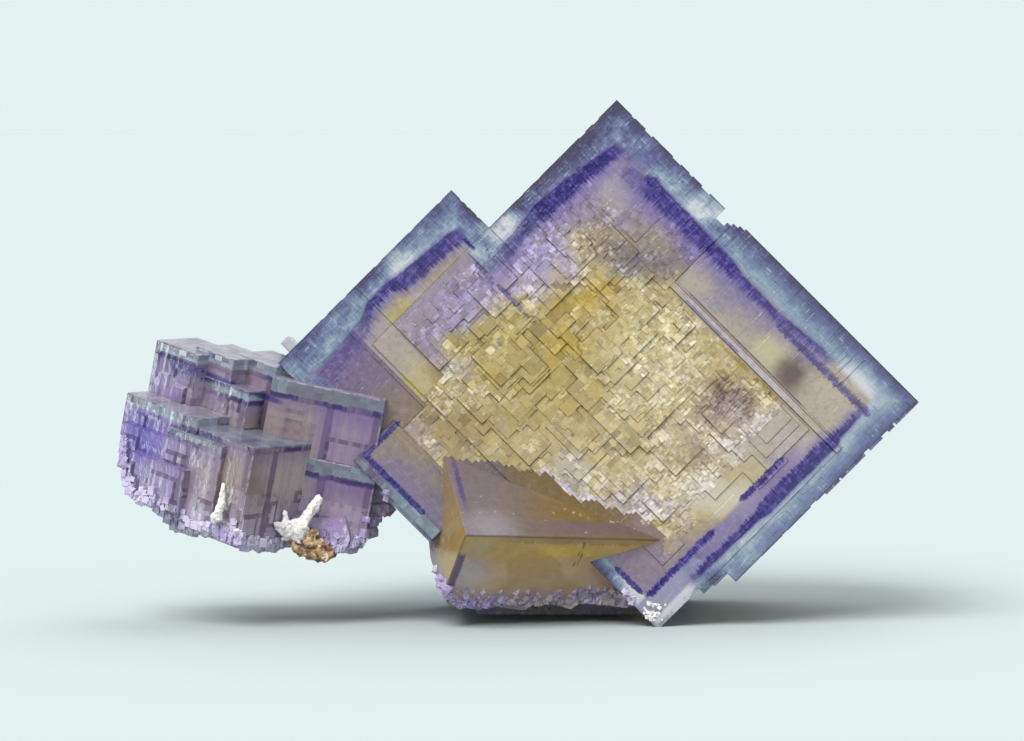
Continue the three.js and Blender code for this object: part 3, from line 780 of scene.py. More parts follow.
def make_left(name, yaw, bar=None, clear_to=1.55):
    """Zones that follow each block: glassy under its top face, then a purple line."""
    n = Nodes(name)
    x, y, w, p, q = n.coords()
    sub = lambda a, b: n.math("SUBTRACT", a, b)
    add = lambda a, b: n.math("ADD", a, b)
    u = n.mul(sub(x, X_MID), U)
    v = n.mul(sub(Y_FOOT, y), U)
    P = n.vec(u, v, w)
    la, ra_, dn = left_axes(yaw)
    dn_d = sub(n.dot(P, tuple(dn)), n.attr("k0"))
    A = sub(n.dot(P, tuple(la)), n.attr("k1"))
    B = sub(n.dot(P, tuple(ra_)), n.attr("k2"))
    tone, wall = n.attr("tone"), n.attr("wall")
    mott = n.noise(n.pos(), 1000.0, 2.0, 0.62)
    soft = n.noise(n.pos(), 130.0, 1.0, 0.5)
    mid = n.noise(n.pos(), 380.0, 1.0, 0.55)
    cols = n.noise(n.vec(n.mul(A, 1.3), n.mul(B, 1.3), n.mul(dn_d, 0.06)), 1.0, 1.0, 0.6)
    rag = add(n.mul(sub(cols, 0.5), 0.6), n.mul(sub(mid, 0.5), 0.5))
    d = add(sub(dn_d, clear_to - 1.55), rag)
    # ground colour over the whole group
    g = n.mix(n.span(add(x, n.mul(soft, 40.0)), 190, 236), srgb(156, 138, 184), srgb(172, 152, 152))
    g = n.mix(n.mul(n.blob(x, y, 238, 480, 34, 46, 0.3), 0.8), g, srgb(160, 136, 124))
    g = n.mix(n.mul(n.blob(x, y, 290, 470, 34, 44, 0.4), 0.8), g, srgb(208, 192, 184))
    g = n.mix(n.mul(n.span(add(x, n.mul(soft, 30.0)), 322, 340), 1.0), g, srgb(164, 140, 172))
    g = n.mix(n.mul(n.blob(x, y, 142, 434, 34, 44, 0.25), 0.95), g, srgb(96, 76, 184))
    g = n.mix(n.mul(n.span(add(y, n.mul(soft, 46.0)), 505, 552), 0.9), g, srgb(204, 188, 214))
    g = n.mix(n.mul(n.blob(x, y, 350, 505, 44, 44, 0.3), 0.7), g, srgb(158, 128, 162))
    g = n.mix(n.mul(n.blob(x, y, 238, 400, 50, 30, 0.3), 0.6), g, srgb(174, 160, 176))
    # purple mist that hangs from the line
    mist = n.mul(n.span(d, 1.6, 2.2), n.span(d, 2.6, 5.5, 1.0, 0.0))
    g = n.mix(n.mul(mist, 0.42), g, srgb(120, 98, 160))
    # vertical stripes
    st = n.span(cols, 0.57, 0.63)
    g = n.mix(n.mul(st, n.span(dn_d, 2.2, 3.0), 0.20), g, srgb(120, 96, 156))
    st2 = n.span(cols, 0.36, 0.42, 1.0, 0.0)
    g = n.mix(n.mul(st2, n.span(dn_d, 2.2, 3.0), 0.18), g, srgb(196, 180, 170))
    edge_line = n.mul(n.span(n.math("ABSOLUTE", sub(add(A, n.mul(rag, 0.3)), 0.75)), 0.30, 0.7, 1.0, 0.0),
                      n.span(dn_d, 2.0, 2.4), n.span(B, 0.4, 0.2))
    g = n.mix(n.mul(edge_line, 0.7), g, srgb(104, 80, 112))
    in_right = n.mul(n.span(n.math("ABSOLUTE", sub(add(B, n.mul(sub(mid, 0.5), 0.5)), 5.2)), 0.45, 0.75, 1.0, 0.0),
                     n.span(dn_d, 2.0, 2.3), n.span(A, 0.4, 0.2))
    g = n.mix(n.mul(in_right, 0.7), g, srgb(104, 82, 116))
    if bar:
        t = n.mul(n.span(n.math("ABSOLUTE", sub(add(A, n.mul(sub(mid, 0.5), 0.5)), bar)), 0.75, 0.5), n.span(dn_d, 2.2, 2.6),
                  n.span(dn_d, 15.0, 13.6), 0.75)
        g = n.mix(t, g, srgb(108, 84, 136))
    # glassy top
    step = lambda v, k: n.math("FLOOR", n.mul(v, k))
    win = n.noise(n.vec(step(add(A, n.mul(mid, 0.6)), 0.72), step(add(B, n.mul(mid, 0.6)), 0.72), step(dn_d, 1.1)), 0.77, 0.0, 0.5)
    lively = n.mul(n.blob(x, y, 216, 358, 60, 22, 0.4), 0.85)
    win = n.math("ADD", n.mul(sub(win, 0.5), n.span(lively, 0.0, 1.0, 0.25, 1.0, kind="LINEAR")), 0.5)
    glass = n.ramp(n.span(add(n.mul(win, 0.8), n.mul(soft, 0.2)), 0.36, 0.64, kind="LINEAR"), [
        (0.0, srgb(112, 114, 158)), (0.28, srgb(140, 142, 170)), (0.5, srgb(172, 176, 190)),
        (0.7, srgb(176, 196, 216)), (1.0, srgb(246, 250, 250))])
    glass = n.mix(n.mul(n.blob(x, y, 330, 392, 70, 24, 0.4), 0.5), glass, srgb(160, 150, 166))
    col = n.mix(n.span(d, 1.35, 1.75), glass, g)
    line = n.mul(n.span(d, 1.35, 1.7), n.span(d, 2.1, 2.6, 1.0, 0.0))
    line = n.mul(line, n.span(add(n.mul(soft, 0.7), n.mul(cols, 0.3)), 0.34, 0.50, 0.35, 1.0))
    line = n.mul(line, n.span(n.math("ADD", n.math("ABSOLUTE", sub(x, 142)), n.math("ABSOLUTE", sub(y, 420))), 30, 60))
    line = n.mul(line, sub(1.0, n.mul(n.blob(x, y, 210, 372, 66, 24, 0.6), 0.65)))
    run = n.math("MULTIPLY_ADD", sub(x, 170), -0.345, sub(y, 364.0))
    run = n.math("MULTIPLY_ADD", rag, 3.2, run)
    band = n.mul(n.span(n.math("ABSOLUTE", run), n.span(x, 190, 250, 7.5, 4.5), n.span(x, 190, 250, 3.5, 1.4)),
                 n.span(x, 166, 172), n.span(x, 286, 276))
    col = n.mix(n.mul(line, 0.94), col, srgb(58, 36, 112))
    col = n.mix(n.mul(band, 0.82), col, srgb(64, 50, 134))
    top = n.span(dn_d, 0.22, 0.12)
    col = n.mix(top, col, n.mix(n.span(mid, 0.4, 0.6), srgb(180, 172, 194), srgb(214, 208, 220)))
    # bricks
    bright = n.mul(n.span(tone, 0.72, 0.95), n.span(dn_d, 1.2, 1.6))
    dark = n.mul(n.span(tone, 0.30, 0.08), n.span(tone, 0.02, 0.05), n.span(dn_d, 1.2, 1.6))
    calm = n.span(n.blob(x, y, 142, 436, 40, 50, 0.4), 0.0, 1.0, 1.0, 0.25)
    col = n.mix(n.mul(bright, calm, 0.6), col, n.mix(0.55, col, srgb(206, 194, 206)))
    col = n.mix(n.mul(dark, calm, 0.6), col, n.mix(1.0, col, (0.62, 0.52, 0.72), "MULTIPLY"))
    # painted shade: the walls between the bricks are darkened, more where the step is taller
    col = n.mix(n.mul(n.span(wall, 0.015, 0.11), 0.75), col, n.mix(1.0, col, (0.30, 0.24, 0.30), "MULTIPLY"))
    # painted highlight and painted shade along the block edges: pale where the mottle is high, dark where it is low
    near = n.math("MAXIMUM", n.math("MINIMUM", A, B), n.math("MINIMUM", n.math("MAXIMUM", A, B), dn_d))
    rim = n.span(near, 0.08, 0.26, 1.0, 0.0)
    col = n.mix(n.mul(rim, n.span(mott, 0.4, 0.6), 0.45), col, srgb(200, 196, 218))
    col = n.mix(n.mul(rim, n.span(mott, 0.6, 0.4), 0.5), col, srgb(84, 74, 104))
    col = n.mix(n.span(mott, 0.3, 0.62, 0.22, 0.0), col, n.mix(1.0, col, (0.62, 0.56, 0.66), "MULTIPLY"))
    clear = n.span(d, 1.2, 2.0, 0.66, 0.42)
    rough = n.math("ADD", 0.03, n.mul(mott, 0.16))
    bm = n.noise(n.vec(n.mul(A, 1.4), n.mul(B, 1.4), n.mul(dn_d, 0.8)), 1.0, 2.0, 0.66)
    nor = n.bump(bm, 0.4, 0.14)
    crystal_shader(n, col, rough, clear, nor, BASE_ABSORB)
    return n.mat


def make_druzy():
    n = Nodes("fluorite_druzy")
    x, y, w, p, q = n.coords()
    sub = lambda a, b: n.math("SUBTRACT", a, b)
    tone = n.attr("tone")
    mott = n.noise(n.pos(), 1000.0, 2.0, 0.62)
    soft = n.noise(n.pos(), 160.0, 1.0, 0.5)
    g = n.mix(n.span(soft, 0.4, 0.62), srgb(180, 164, 208), srgb(212, 200, 228))
    g = n.mix(n.mul(n.blob(x, y, 352, 505, 56, 50, 0.3), 0.8), g, srgb(146, 116, 158))
    g = n.mix(n.mul(n.span(x, 420, 440), n.span(soft, 0.5, 0.6), 0.7), g, srgb(186, 168, 160))
    g = n.mix(n.mul(n.span(x, 640, 612), n.blob(x, y, 560, 592, 70, 16, 0.2), 0.6), g, srgb(160, 140, 168))
    g = n.mix(n.mul(n.span(tone, 0.45, 0.95), 0.4), g, srgb(224, 216, 230))
    g = n.mix(n.mul(n.span(tone, 0.20, 0.05), n.span(tone, 0.01, 0.04), 0.35), g, srgb(150, 122, 184))
    g = n.mix(n.mul(n.span(mott, 0.60, 0.72), 0.6), g, srgb(234, 228, 232))
    g = n.mix(n.mul(n.blob(x, y, 262, 524, 44, 26, 0.3), 0.5), g, srgb(238, 232, 234))
    g = n.mix(n.span(mott, 0.3, 0.5, 0.3, 0.0), g, n.mix(1.0, g, (0.66, 0.56, 0.74), "MULTIPLY"))
    g = n.mix(n.span(y, 380, 368), g, srgb(184, 182, 190))
    g = n.mix(n.span(x, 638, 646), g, srgb(244, 238, 230))
    nor = n.bump(n.noise(n.pos(), 1500.0, 1.0, 0.7), 0.45, 0.15)
    crystal_shader(n, g, n.math("ADD", 0.12, n.math("MULTIPLY", mott, 0.3)), 0.22, nor, BASE_ABSORB)
    return n.mat


def make_zone(name, per_mm):
    n = Nodes(name)
    col, dens = sigma(per_mm)
    a = n.new("ShaderNodeVolumeAbsorption")
    a.inputs["Color"].default_value = (*col, 1)
    a.inputs["Density"].default_value = dens
    n.nt.links.new(a.outputs[0], n.out.inputs["Volume"])
    return n.mat



M_FACE, M_TWIN, M_LEFT, M_DRUZY, M_SIDE, M_LEFT2 = 0, 1, 2, 3, 4, 5
MATS = [make_front(), make_twin(), make_left("fluorite_left_cubes", 0.0), make_druzy(), make_side(),
        make_left("fluorite_left_cubes_turned", 32.0, 7.9, 2.05)]

# ---------------------------------------------------------------------------
# the crystals as one joined solid
# ---------------------------------------------------------------------------
def left_block(s, x, y, w, a, b, c, yaw=0.0, r=0.1):
    l, rr, d = left_axes(yaw)
    o = D(x, y, w)
    s.now.update(k0=float(o @ d) - WORN.get((x, y), 0.0), k1=float(o @ l), k2=float(o @ rr))
    s.cut_box(o, l * a * U, rr * b * U, d * c * U, r, M_LEFT if not yaw else M_LEFT2)


def brick_face(x, y, w, a, b, c, yaw, side, step, amp, seed, where=None, big=(2, 2)):
    """Thin proud cells on the left (0) or right (1) front face of a block."""
    g = np.random.default_rng(seed)
    l, rr, d = left_axes(yaw)
    o = D(x, y, w)
    m = 0.22
    ls, lt = (a * U, c * U) if side == 0 else (c * U, b * U)
    S = np.array(jitter_lines(m, ls - m, step, 0.3, g))
    T = np.array(jitter_lines(m, lt - m, step * (1.15 if side == 0 else 0.9), 0.3, g))
    ns, nt = len(S) - 1, len(T) - 1
    inside = np.ones((ns, nt), bool)
    region = np.zeros((ns, nt), int)
    gid, k = groups(ns, nt, region, lambda i, j: big, g)
    lift = g.gamma(1.1, amp, k)
    lift[g.random(k) < 0.35] = 0.0
    tn = g.uniform(0.06, 1, k)
    tl = g.normal(0, 0.012, (k, 2))
    H = np.zeros((ns, nt, 4))
    tone = np.zeros((ns, nt))
    for i in range(ns):
        for j in range(nt):
            ss, tt = (S[i] + S[i + 1]) / 2, (T[j] + T[j + 1]) / 2
            ps, pt = (ss, tt) if side == 0 else (tt, ss)
            live = 1.0 if where is None else where(ps, pt)
            h = lift[gid[i, j]] * live
            tone[i, j] = tn[gid[i, j]] * (live > 0.05)
            for c2, (e, f) in enumerate(((0, 0), (1, 0), (1, 1), (0, 1))):
                H[i, j, c2] = 0.03 + h + live * (tl[gid[i, j], 0] * (S[i + e] - ss) + tl[gid[i, j], 1] * (T[j + f] - tt))
    if side == 0:
        place = lambda s, t, h: tuple(o + l * s + d * t - rr * h)
    else:
        place = lambda s, t, h: tuple(o + d * s + rr * t - l * h)
    return relief("tmp", S, T, inside, H, tone, place, -1.2, MATS, M_LEFT if not yaw else M_LEFT2,
                  edge=0.03, extra={"k0": float(o @ d) - WORN.get((x, y), 0.0), "k1": float(o @ l), "k2": float(o @ rr)})


def prism(s, outline, w0, w1, mat=0, cap_jitter=0.0):
    """A prism across the drawing from w0 back to w1."""
    pts = [D(x, y) for x, y in outline]
    area = sum(a[0] * b[1] - b[0] * a[1] for a, b in zip(pts, pts[1:] + pts[:1]))
    if area < 0:
        pts = pts[::-1]
    base = len(s.v)
    n = len(pts)
    lo, hi = min(w0, w1), max(w0, w1)
    s.v.extend((p[0], p[1], lo) for p in pts)
    s.v.extend((p[0], p[1], hi) for p in pts)
    s.f.append([base + i for i in range(n)][::-1])
    s.f.append([base + n + i for i in range(n)])
    s.m += [mat, mat]
    for i in range(n):
        j = (i + 1) % n
        s.f.append([base + i, base + j, base + n + j, base + n + i])
        s.m.append(mat)


def facing_blocks():
    B = []
    add = lambda *a: B.append(lambda s, a=a: block45(s, *a, mat=M_SIDE))
    add(716.5, 1318, 154, 517, -2.0, -44)
    add(718.5, 1299, 110, 200, -2.0, -43)
    add(720.5, 1288, 28, 130, -2.0, -42)
    add(1270, 1321.5, 332, 517, -0.2, -43.5)
    add(1270, 1319.5, 205, 330, -2.0, -38)
    add(1240, 1303, 128, 190, -3.0, -39)
    add(990, 1300, 480, 518.2, -7, -35)
    add(641, 1010, -85, 261.5, -2.0, -36)
    add(642, 800, -87, 140, -15, -29)
    add(815, 971, -106, 60, -2.0, -20)
    add(872, 972, -113, 0, -1.2, -18)
    add(770, 1220, 90, 330, -42, -48)
    add(900, 1290, 250, 495, -42, -45.8)
    add(850, 1120, 150, 420, -42, -50)
    add(670, 930, -50, 190, -34, -39.5)
    return B


# how much of the clear layer under its top a block has lost
WORN = {(186, 470): 3.2, (193, 446): 3.2, (258, 447): 1.15, (226, 446): 0.6}
LEFT = [
    (258, 447, 9.6, 76, 92, 104, 0), (226, 446, 7.0, 72, 90, 88, 0), (200, 419, 3.6, 98, 88, 44, 0),
    (193, 446, 3.3, 92, 84, 48, 0), (186, 470, 4.0, 72, 70, 46, 0), (198, 355, -2.2, 58, 62, 120, 0),
    (234, 360, -1.2, 52, 56, 120, 0), (276, 368, -0.9, 58, 60, 130, 0), (250, 392, 0.6, 84, 70, 110, 0),
    (386, 401, 1.6, 116, 150, 112, 32), (377, 472, -0.3, 112, 150, 81, 32),
]


def left_bricks():
    B = []
    for n, blk in enumerate(LEFT):
        x, y, w, a, b, c, yaw = blk
        deep = lambda s, t: 1.0 if t > 2.4 else 0.25
        if n == 0:
            B.append(brick_face(*blk, 0, 1.25, 0.10, 31 + n, lambda s, t: float(s > 3.4 or t > 7.5) * (t > 1.2)))
            B.append(brick_face(*blk, 1, 1.5, 0.07, 51 + n, lambda s, t: float(t > 8.0)))
        elif n == 1:
            B.append(brick_face(*blk, 0, 1.4, 0.05, 31 + n, deep))
        elif n in (9, 10):
            B.append(brick_face(*blk, 0, 1.7, 0.06, 31 + n, lambda s, t: float(t > 6.0 or s > 12) * (t > 2.4), (3, 3)))
        else:
            B.append(brick_face(*blk, 0, 1.2, 0.12, 31 + n, deep))
            B.append(brick_face(*blk, 1, 1.2, 0.10, 51 + n, deep))
    return B


def turned(R, a, gen):
    ax = gen.normal(0, 1, 3)
    return np.array(Matrix.Rotation(a, 3, Vector(ax).normalized())) @ R


def scatter(ob, spots, gen):
    """Small cubes standing in the surface that the viewer sees at each (x, y)."""
    bm = bmesh.new()
    bm.from_mesh(ob.data)
    tree = BVHTree.FromBMesh(bm)
    bm.free()
    base = np.array(left_axes(8.0)).T
    sets = []
    for x, y, size, jit, side in spots:
        hit, nrm, at, _ = tree.ray_cast(Vector(D(x, y, 60.0 * side)), Vector((0, 0, -side)))
        if hit is None or (side < 0 and ob.data.polygons[at].material_index != M_DRUZY):
            continue
        c = np.array(hit) - np.array(nrm) * size * gen.uniform(0.0, 0.25)
        r = size * 0.9
        R = turned(base, gen.normal(0, jit), gen)
        dims = size * gen.uniform(0.75, 1.15, 3)
        for g in sets:
            if all(np.linalg.norm(c - o[0]) > r + o[1] for o in g):
                g.append((c, r, R, dims, gen.uniform(0.02, 1)))
                break
        else:
            sets.append([(c, r, R, dims, gen.uniform(0.02, 1))])
    for g in sets:
        s = Soup()
        for c, r, R, dims, tn in g:
            s.now["tone"] = tn
            o = c - R @ (dims / 2)
            if r > 1.1:
                s.cut_box(o, R[:, 0] * dims[0], R[:, 1] * dims[1], R[:, 2] * dims[2], 0.05, M_DRUZY)
            else:
                s.box(o, R[:, 0] * dims[0], R[:, 1] * dims[1], R[:, 2] * dims[2], M_DRUZY)
        boolean(ob, s.object("tmp", MATS))
    print("cubes in", len(sets), "groups")


def druzy_spots(gen):
    out = []
    low = [(118, 452), (121, 480), (134, 500), (158, 512), (176, 530), (196, 536), (220, 532), (238, 543),
           (262, 552), (280, 548), (300, 540), (330, 552), (352, 552), (372, 532), (386, 508)]
    lx, ly = np.array(low).T
    for _ in range(560):
        x = gen.uniform(119, 388)
        yb = np.interp(x, lx, ly)
        rise = min(gen.gamma(1.4, 4.2), 16.0 if x > 290 else 22.0)
        if 205 < x < 232 or 268 < x < 312:
            rise = min(rise, 9.0)
        size = gen.uniform(0.4, 0.8) + min(gen.gamma(1.0, 0.2), 0.7)
        out.append((x, yb - rise, size, 0.2 if gen.random() < 0.6 else 0.8, 1))
    for _ in range(70):
        t = gen.uniform(0, 1)
        x, y = 120 + 12 * t ** 2 + gen.uniform(-1, 4), 436 + 66 * t
        out.append((x, y, gen.uniform(0.4, 0.8), 0.5, 1))
    for _ in range(300):
        x = gen.uniform(430, 634)
        yb = np.interp(x, [430, 440, 456, 520, 560, 634], [566, 590, 606, 608, 604, 604])
        y = yb - min(gen.gamma(1.4, 3.4), 16.0)
        out.append((x, y, gen.uniform(0.35, 0.8) + min(gen.gamma(1.0, 0.15), 0.5), 0.8, 1))
    for _ in range(34):
        out.append((gen.normal(653, 5), gen.normal(612, 4.5), gen.uniform(0.3, 0.7), 0.9, 1))
    for _ in range(230):
        out.append((gen.uniform(122, 392), gen.uniform(448, 548), gen.uniform(0.9, 2.6), 0.6, -1))
    for _ in range(110):
        out.append((gen.uniform(436, 655), gen.uniform(560, 624), gen.uniform(0.9, 2.6), 0.6, -1))
    return out


# ---------------------------------------------------------------------------
# The front of the two facing cubes: flat cells on a grid at 45 degrees. Terraces and
# overlapping plates lift groups of cells; a plate stands highest at its lower tip.
# ---------------------------------------------------------------------------
# lower tip (sum, difference), length along the two edges, height in mm
PLATES = [
    (859, 261.5, 142, 128, 0.52), (826, 214, 104, 47, 0.34), (792, 144, 34, 54, 0.28),
    (855, 139, 62, 62, 0.34), (810, 70, 84, 58, 0.34), (909, 201, 92, 74, 0.32),
    (1085, 177, 128, 150, 0.42), (1188, 142, 56, 40, 0.30), (995, 64, 92, 46, 0.34),
    (1013, 129, 42, 60, 0.26), (940, 98, 60, 56, 0.28), (1060, 96, 58, 60, 0.28),
    (1130, 118, 60, 54, 0.26), (1000, 214, 70, 60, 0.24), (1150, 200, 60, 70, 0.26),
    (1214, 214, 50, 60, 0.22), (1204, 282, 44, 50, 0.24), (1218, 300, 50, 46, 0.20),
    (1236, 322, 60, 40, 0.22), (1250, 268, 50, 60, 0.20), (1140, 300, 60, 60, 0.22),
    (1180, 352, 90, 26, 0.16), (900, 330, 70, 50, 0.20), (960, 300, 60, 60, 0.22),
    (1020, 330, 60, 44, 0.20), (880, 390, 70, 50, 0.16), (955, 372, 50, 50, 0.18),
    (905, 60, 50, 30, 0.26), (1230, 96, 70, 46, 0.2),
]


def near_twin(x, y):
    """How far below the pale border of the twin's top face a place lies, in drawing units."""
    if not 450 < x < 664:
        return -99.0
    ragged = 7.0 * noise3.noise(Vector((x / 13.0, y / 13.0, 6.6)))
    return y + ragged - float(np.interp(x, [450, 476, 545, 556, 575, 600, 620, 640, 664],
                                        [458, 460, 471, 484, 495, 504, 512, 518, 533]))


def is_smooth(p, q):
    """Where the face is glassy rather than built of small squares."""
    if near_twin((p + q) / 2, (p - q) / 2) > 1.0:
        return True
    if math.hypot(((p + q) / 2 - 620) / 30, ((p - q) / 2 - 184) / 27) < 1.0:
        return True
    if q > 380 and p > 950:
        return True
    if p < 718 + 12 * math.sin(q * 0.07) and q > 262:
        return True
    if (q < -26 and p > 814) or (q < 22 and p < 833) or (p < 818 and q < 70) or (p < 730 and q < 262):
        return True
    if p > 1262 or (p > 1215 and q > 120 and q < 260 and (p - 1215) * 3 > (q - 120) * 0.4):
        return True
    if p > 1225 and q <= 120:
        return True
    if q > 448:
        return True
    if p > 1190 and q > 300 or p > 1200 and q > 180:
        return True
    return False


def frost(x, y):
    """0 where the plates are clear and wide, 1 where they are small, white squares."""
    f = 0.5 + 0.9 * noise3.noise(Vector((x / 26.0, y / 26.0, 3.1))) + 0.5 * noise3.noise(Vector((x / 11.0, y / 11.0, 9.0)))
    f -= 0.42 * math.exp(-(((x - 545) / 60) ** 2 + ((y - 385) / 70) ** 2))
    f -= 0.35 * math.exp(-(((x - 500) / 50) ** 2 + ((y - 430) / 30) ** 2))
    f += 0.30 * math.exp(-(((x - 655) / 34) ** 2 + ((y - 500) / 26) ** 2))
    f += 0.30 * math.exp(-(((x - 455) / 26) ** 2 + ((y - 372) / 26) ** 2))
    f += 0.14 * math.exp(-(((x - 545) / 60) ** 2 + ((y - 245) / 44) ** 2))
    f -= 0.26 * math.exp(-(((x - 640) / 50) ** 2 + ((y - 235) / 50) ** 2))
    f -= 0.20 * math.exp(-(((x - 722) / 26) ** 2 + ((y - 400) / 26) ** 2))
    f += 0.18 if x > 640 and y > 280 else 0.0
    return min(1.0, max(0.0, f))


def soft_step(v, a, b):
    t = min(1.0, max(0.0, (v - a) / (b - a)))
    return t * t * (3 - 2 * t)


def blend(a, b, t):
    return tuple(u + (v - u) * t for u, v in zip(a, b))


# centre, radii, colour, strength of the tints that lie over one another under the two faces
TINTS = [
    (540, 360, 100, 84, (196, 176, 102), 0.85), (576, 300, 54, 36, (200, 172, 78), 0.8),
    (600, 292, 26, 18, (204, 172, 60), 0.6), (562, 346, 32, 26, (204, 176, 66), 0.7),
    (655, 370, 78, 80, (218, 204, 150), 0.85), (636, 326, 60, 40, (212, 194, 126), 0.5),
    (690, 444, 50, 46, (202, 186, 152), 0.6), (702, 452, 24, 20, (164, 140, 122), 0.6),
    (722, 402, 38, 36, (142, 120, 118), 0.8), (712, 392, 14, 14, (116, 82, 60), 0.5),
    (600, 205, 95, 50, (158, 146, 146), 0.9), (596, 240, 34, 34, (158, 136, 106), 0.6),
    (616, 184, 42, 32, (184, 174, 182), 0.9), (646, 216, 46, 30, (150, 136, 158), 0.6),
    (528, 262, 60, 46, (182, 170, 196), 0.95), (504, 278, 44, 30, (188, 178, 196), 0.85),
    (642, 258, 56, 34, (130, 122, 124), 0.9), (692, 246, 40, 42, (124, 108, 136), 0.75),
    (754, 440, 56, 50, (204, 190, 172), 0.85), (716, 496, 60, 34, (220, 208, 186), 0.85),
    (600, 470, 64, 40, (212, 198, 150), 0.5), (572, 472, 40, 24, (210, 198, 178), 0.6),
    (632, 502, 38, 26, (192, 178, 166), 0.85), (662, 506, 30, 24, (202, 188, 180), 0.6),
    (448, 300, 46, 42, (210, 198, 194), 0.9), (462, 250, 16, 16, (206, 192, 150), 0.6),
    (425, 365, 30, 24, (170, 148, 100), 0.7),
    (464, 346, 26, 18, (184, 164, 84), 0.8), (452, 372, 26, 22, (190, 176, 158), 0.7),
    (486, 366, 30, 18, (192, 166, 70), 0.6), (430, 415, 46, 26, (176, 152, 98), 0.75),
    (470, 430, 40, 26, (168, 142, 92), 0.6), (412, 440, 38, 30, (158, 142, 132), 0.7),
]
# the same under the wide pane at the right and along the lower right
PANE = [
    (735, 292, 44, 40, (164, 156, 162), 0.9), (750, 330, 26, 20, (176, 168, 152), 0.6),
    (812, 408, 30, 24, (190, 176, 160), 0.6), (730, 500, 50, 24, (226, 214, 200), 0.8),
    (790, 440, 34, 24, (200, 188, 184), 0.7), (705, 300, 24, 20, (172, 162, 176), 0.6),
]


def ground(x, y):
    """The body colour at a place of the two facing faces."""
    wx = 16 * noise3.noise(Vector((x / 24.0, y / 24.0, 1.7))) + 7 * noise3.noise(Vector((x / 8.0, y / 8.0, 4.7)))
    wy = 16 * noise3.noise(Vector((x / 24.0, y / 24.0, 8.3))) + 7 * noise3.noise(Vector((x / 8.0, y / 8.0, 2.3)))
    p, q = x + y, x - y

    def lay(c, items, jitter=1.0):
        for cx, cy, rx, ry, col, k in items:
            r = math.hypot((x + wx * jitter - cx) / rx, (y + wy * jitter - cy) / ry)
            if r < 1.0:
                c = blend(c, srgb(*col), k * soft_step(r, 1.0, 0.25))
        return c

    t = near_twin(x, y)
    if t > 0:
        c = blend(srgb(130, 114, 112), srgb(138, 112, 68), soft_step(x + wx * 2, 470, 540))
        c = blend(c, srgb(150, 128, 120), soft_step(x + wx, 600, 650))
        return blend(c, srgb(152, 134, 152), soft_step(y, 540, 556))
    if t > -6 - 0.2 * wx and x > 540 and x < 640:
        return blend(srgb(216, 204, 196), srgb(150, 136, 150), soft_step(wx + wy, 2, 9))
    if q < -26 and p > 814:                       # the small cube in front, lower left
        if q < -91:
            c = blend(srgb(118, 106, 138), srgb(146, 166, 180), soft_step(p + wx, 850, 900))
            return blend(c, srgb(196, 208, 216), 0.5 * soft_step(noise3.noise(Vector((x / 9.0, y / 9.0, 5.0))), 0, 0.5))
        if p < 819:
            return srgb(120, 106, 136)
        c = blend(srgb(142, 128, 152), srgb(156, 138, 124), soft_step(q + wx * 1.5, -80, -20))
        return blend(c, srgb(166, 148, 118), 0.5 * soft_step(p - q + wy, 930, 900))
    if q < 22 and p < 833:                        # the hollow left of the step
        c = blend(srgb(134, 116, 144), srgb(152, 130, 122), soft_step(p + wx * 1.5, 730, 806))
        return blend(c, srgb(150, 130, 100), 0.6 * soft_step(p + wy, 800, 830))
    if q < 70 and p < 818:                        # the plain pane beside it
        c = blend(srgb(190, 174, 164), srgb(206, 186, 142), soft_step(p + wx, 748, 800))
        c = blend(c, srgb(204, 188, 96), 0.75 * soft_step(q + wy * 0.4, 40, 24) * soft_step(p, 766, 792))
        return blend(c, srgb(150, 122, 84), 0.5 * soft_step(q + wy, 44, 66) * soft_step(p, 780, 812))
    if q > 380 and p > 955 or p > 1244 or (q > 300 and p > 1180):
        c = lay(srgb(198, 184, 164), PANE)
        if 383 < q < 393 and 984 < p < 1215:
            c = blend(srgb(214, 206, 208), srgb(186, 174, 172), 0.5 + 0.5 * noise3.noise(Vector((p / 6.0, q / 6.0, 1.0))))
            if p < 1090 and q < 387:
                c = blend(c, srgb(104, 84, 158), 0.6 + 0.4 * noise3.noise(Vector((p / 9.0, 0.0, 4.0))))
        k = soft_step(q + wx, 380, 430) * 0.3 if p < 1100 else 0
        c = blend(c, srgb(150, 138, 170), k)
        if p > 1225:
            c = blend(c, srgb(168, 152, 186), 0.5 * soft_step(q + wx, 340, 300))
            c = blend(c, srgb(150, 132, 156), 0.8 * soft_step(q + wx, 190, 110))
        return c
    c = lay(srgb(200, 182, 126), TINTS)
    # lilac towards the growth lines
    near = min(p - 716.5, 517 - q) if p > 716.5 and q > 28 else 200.0
    c = blend(c, srgb(152, 138, 172), 0.75 * soft_step(near + wx, 96, 58))
    if p > 1180 and q < 200:
        c = blend(c, srgb(152, 134, 152), 0.85 * soft_step(p + wx - 0.4 * q, 1140, 1190))
    return c


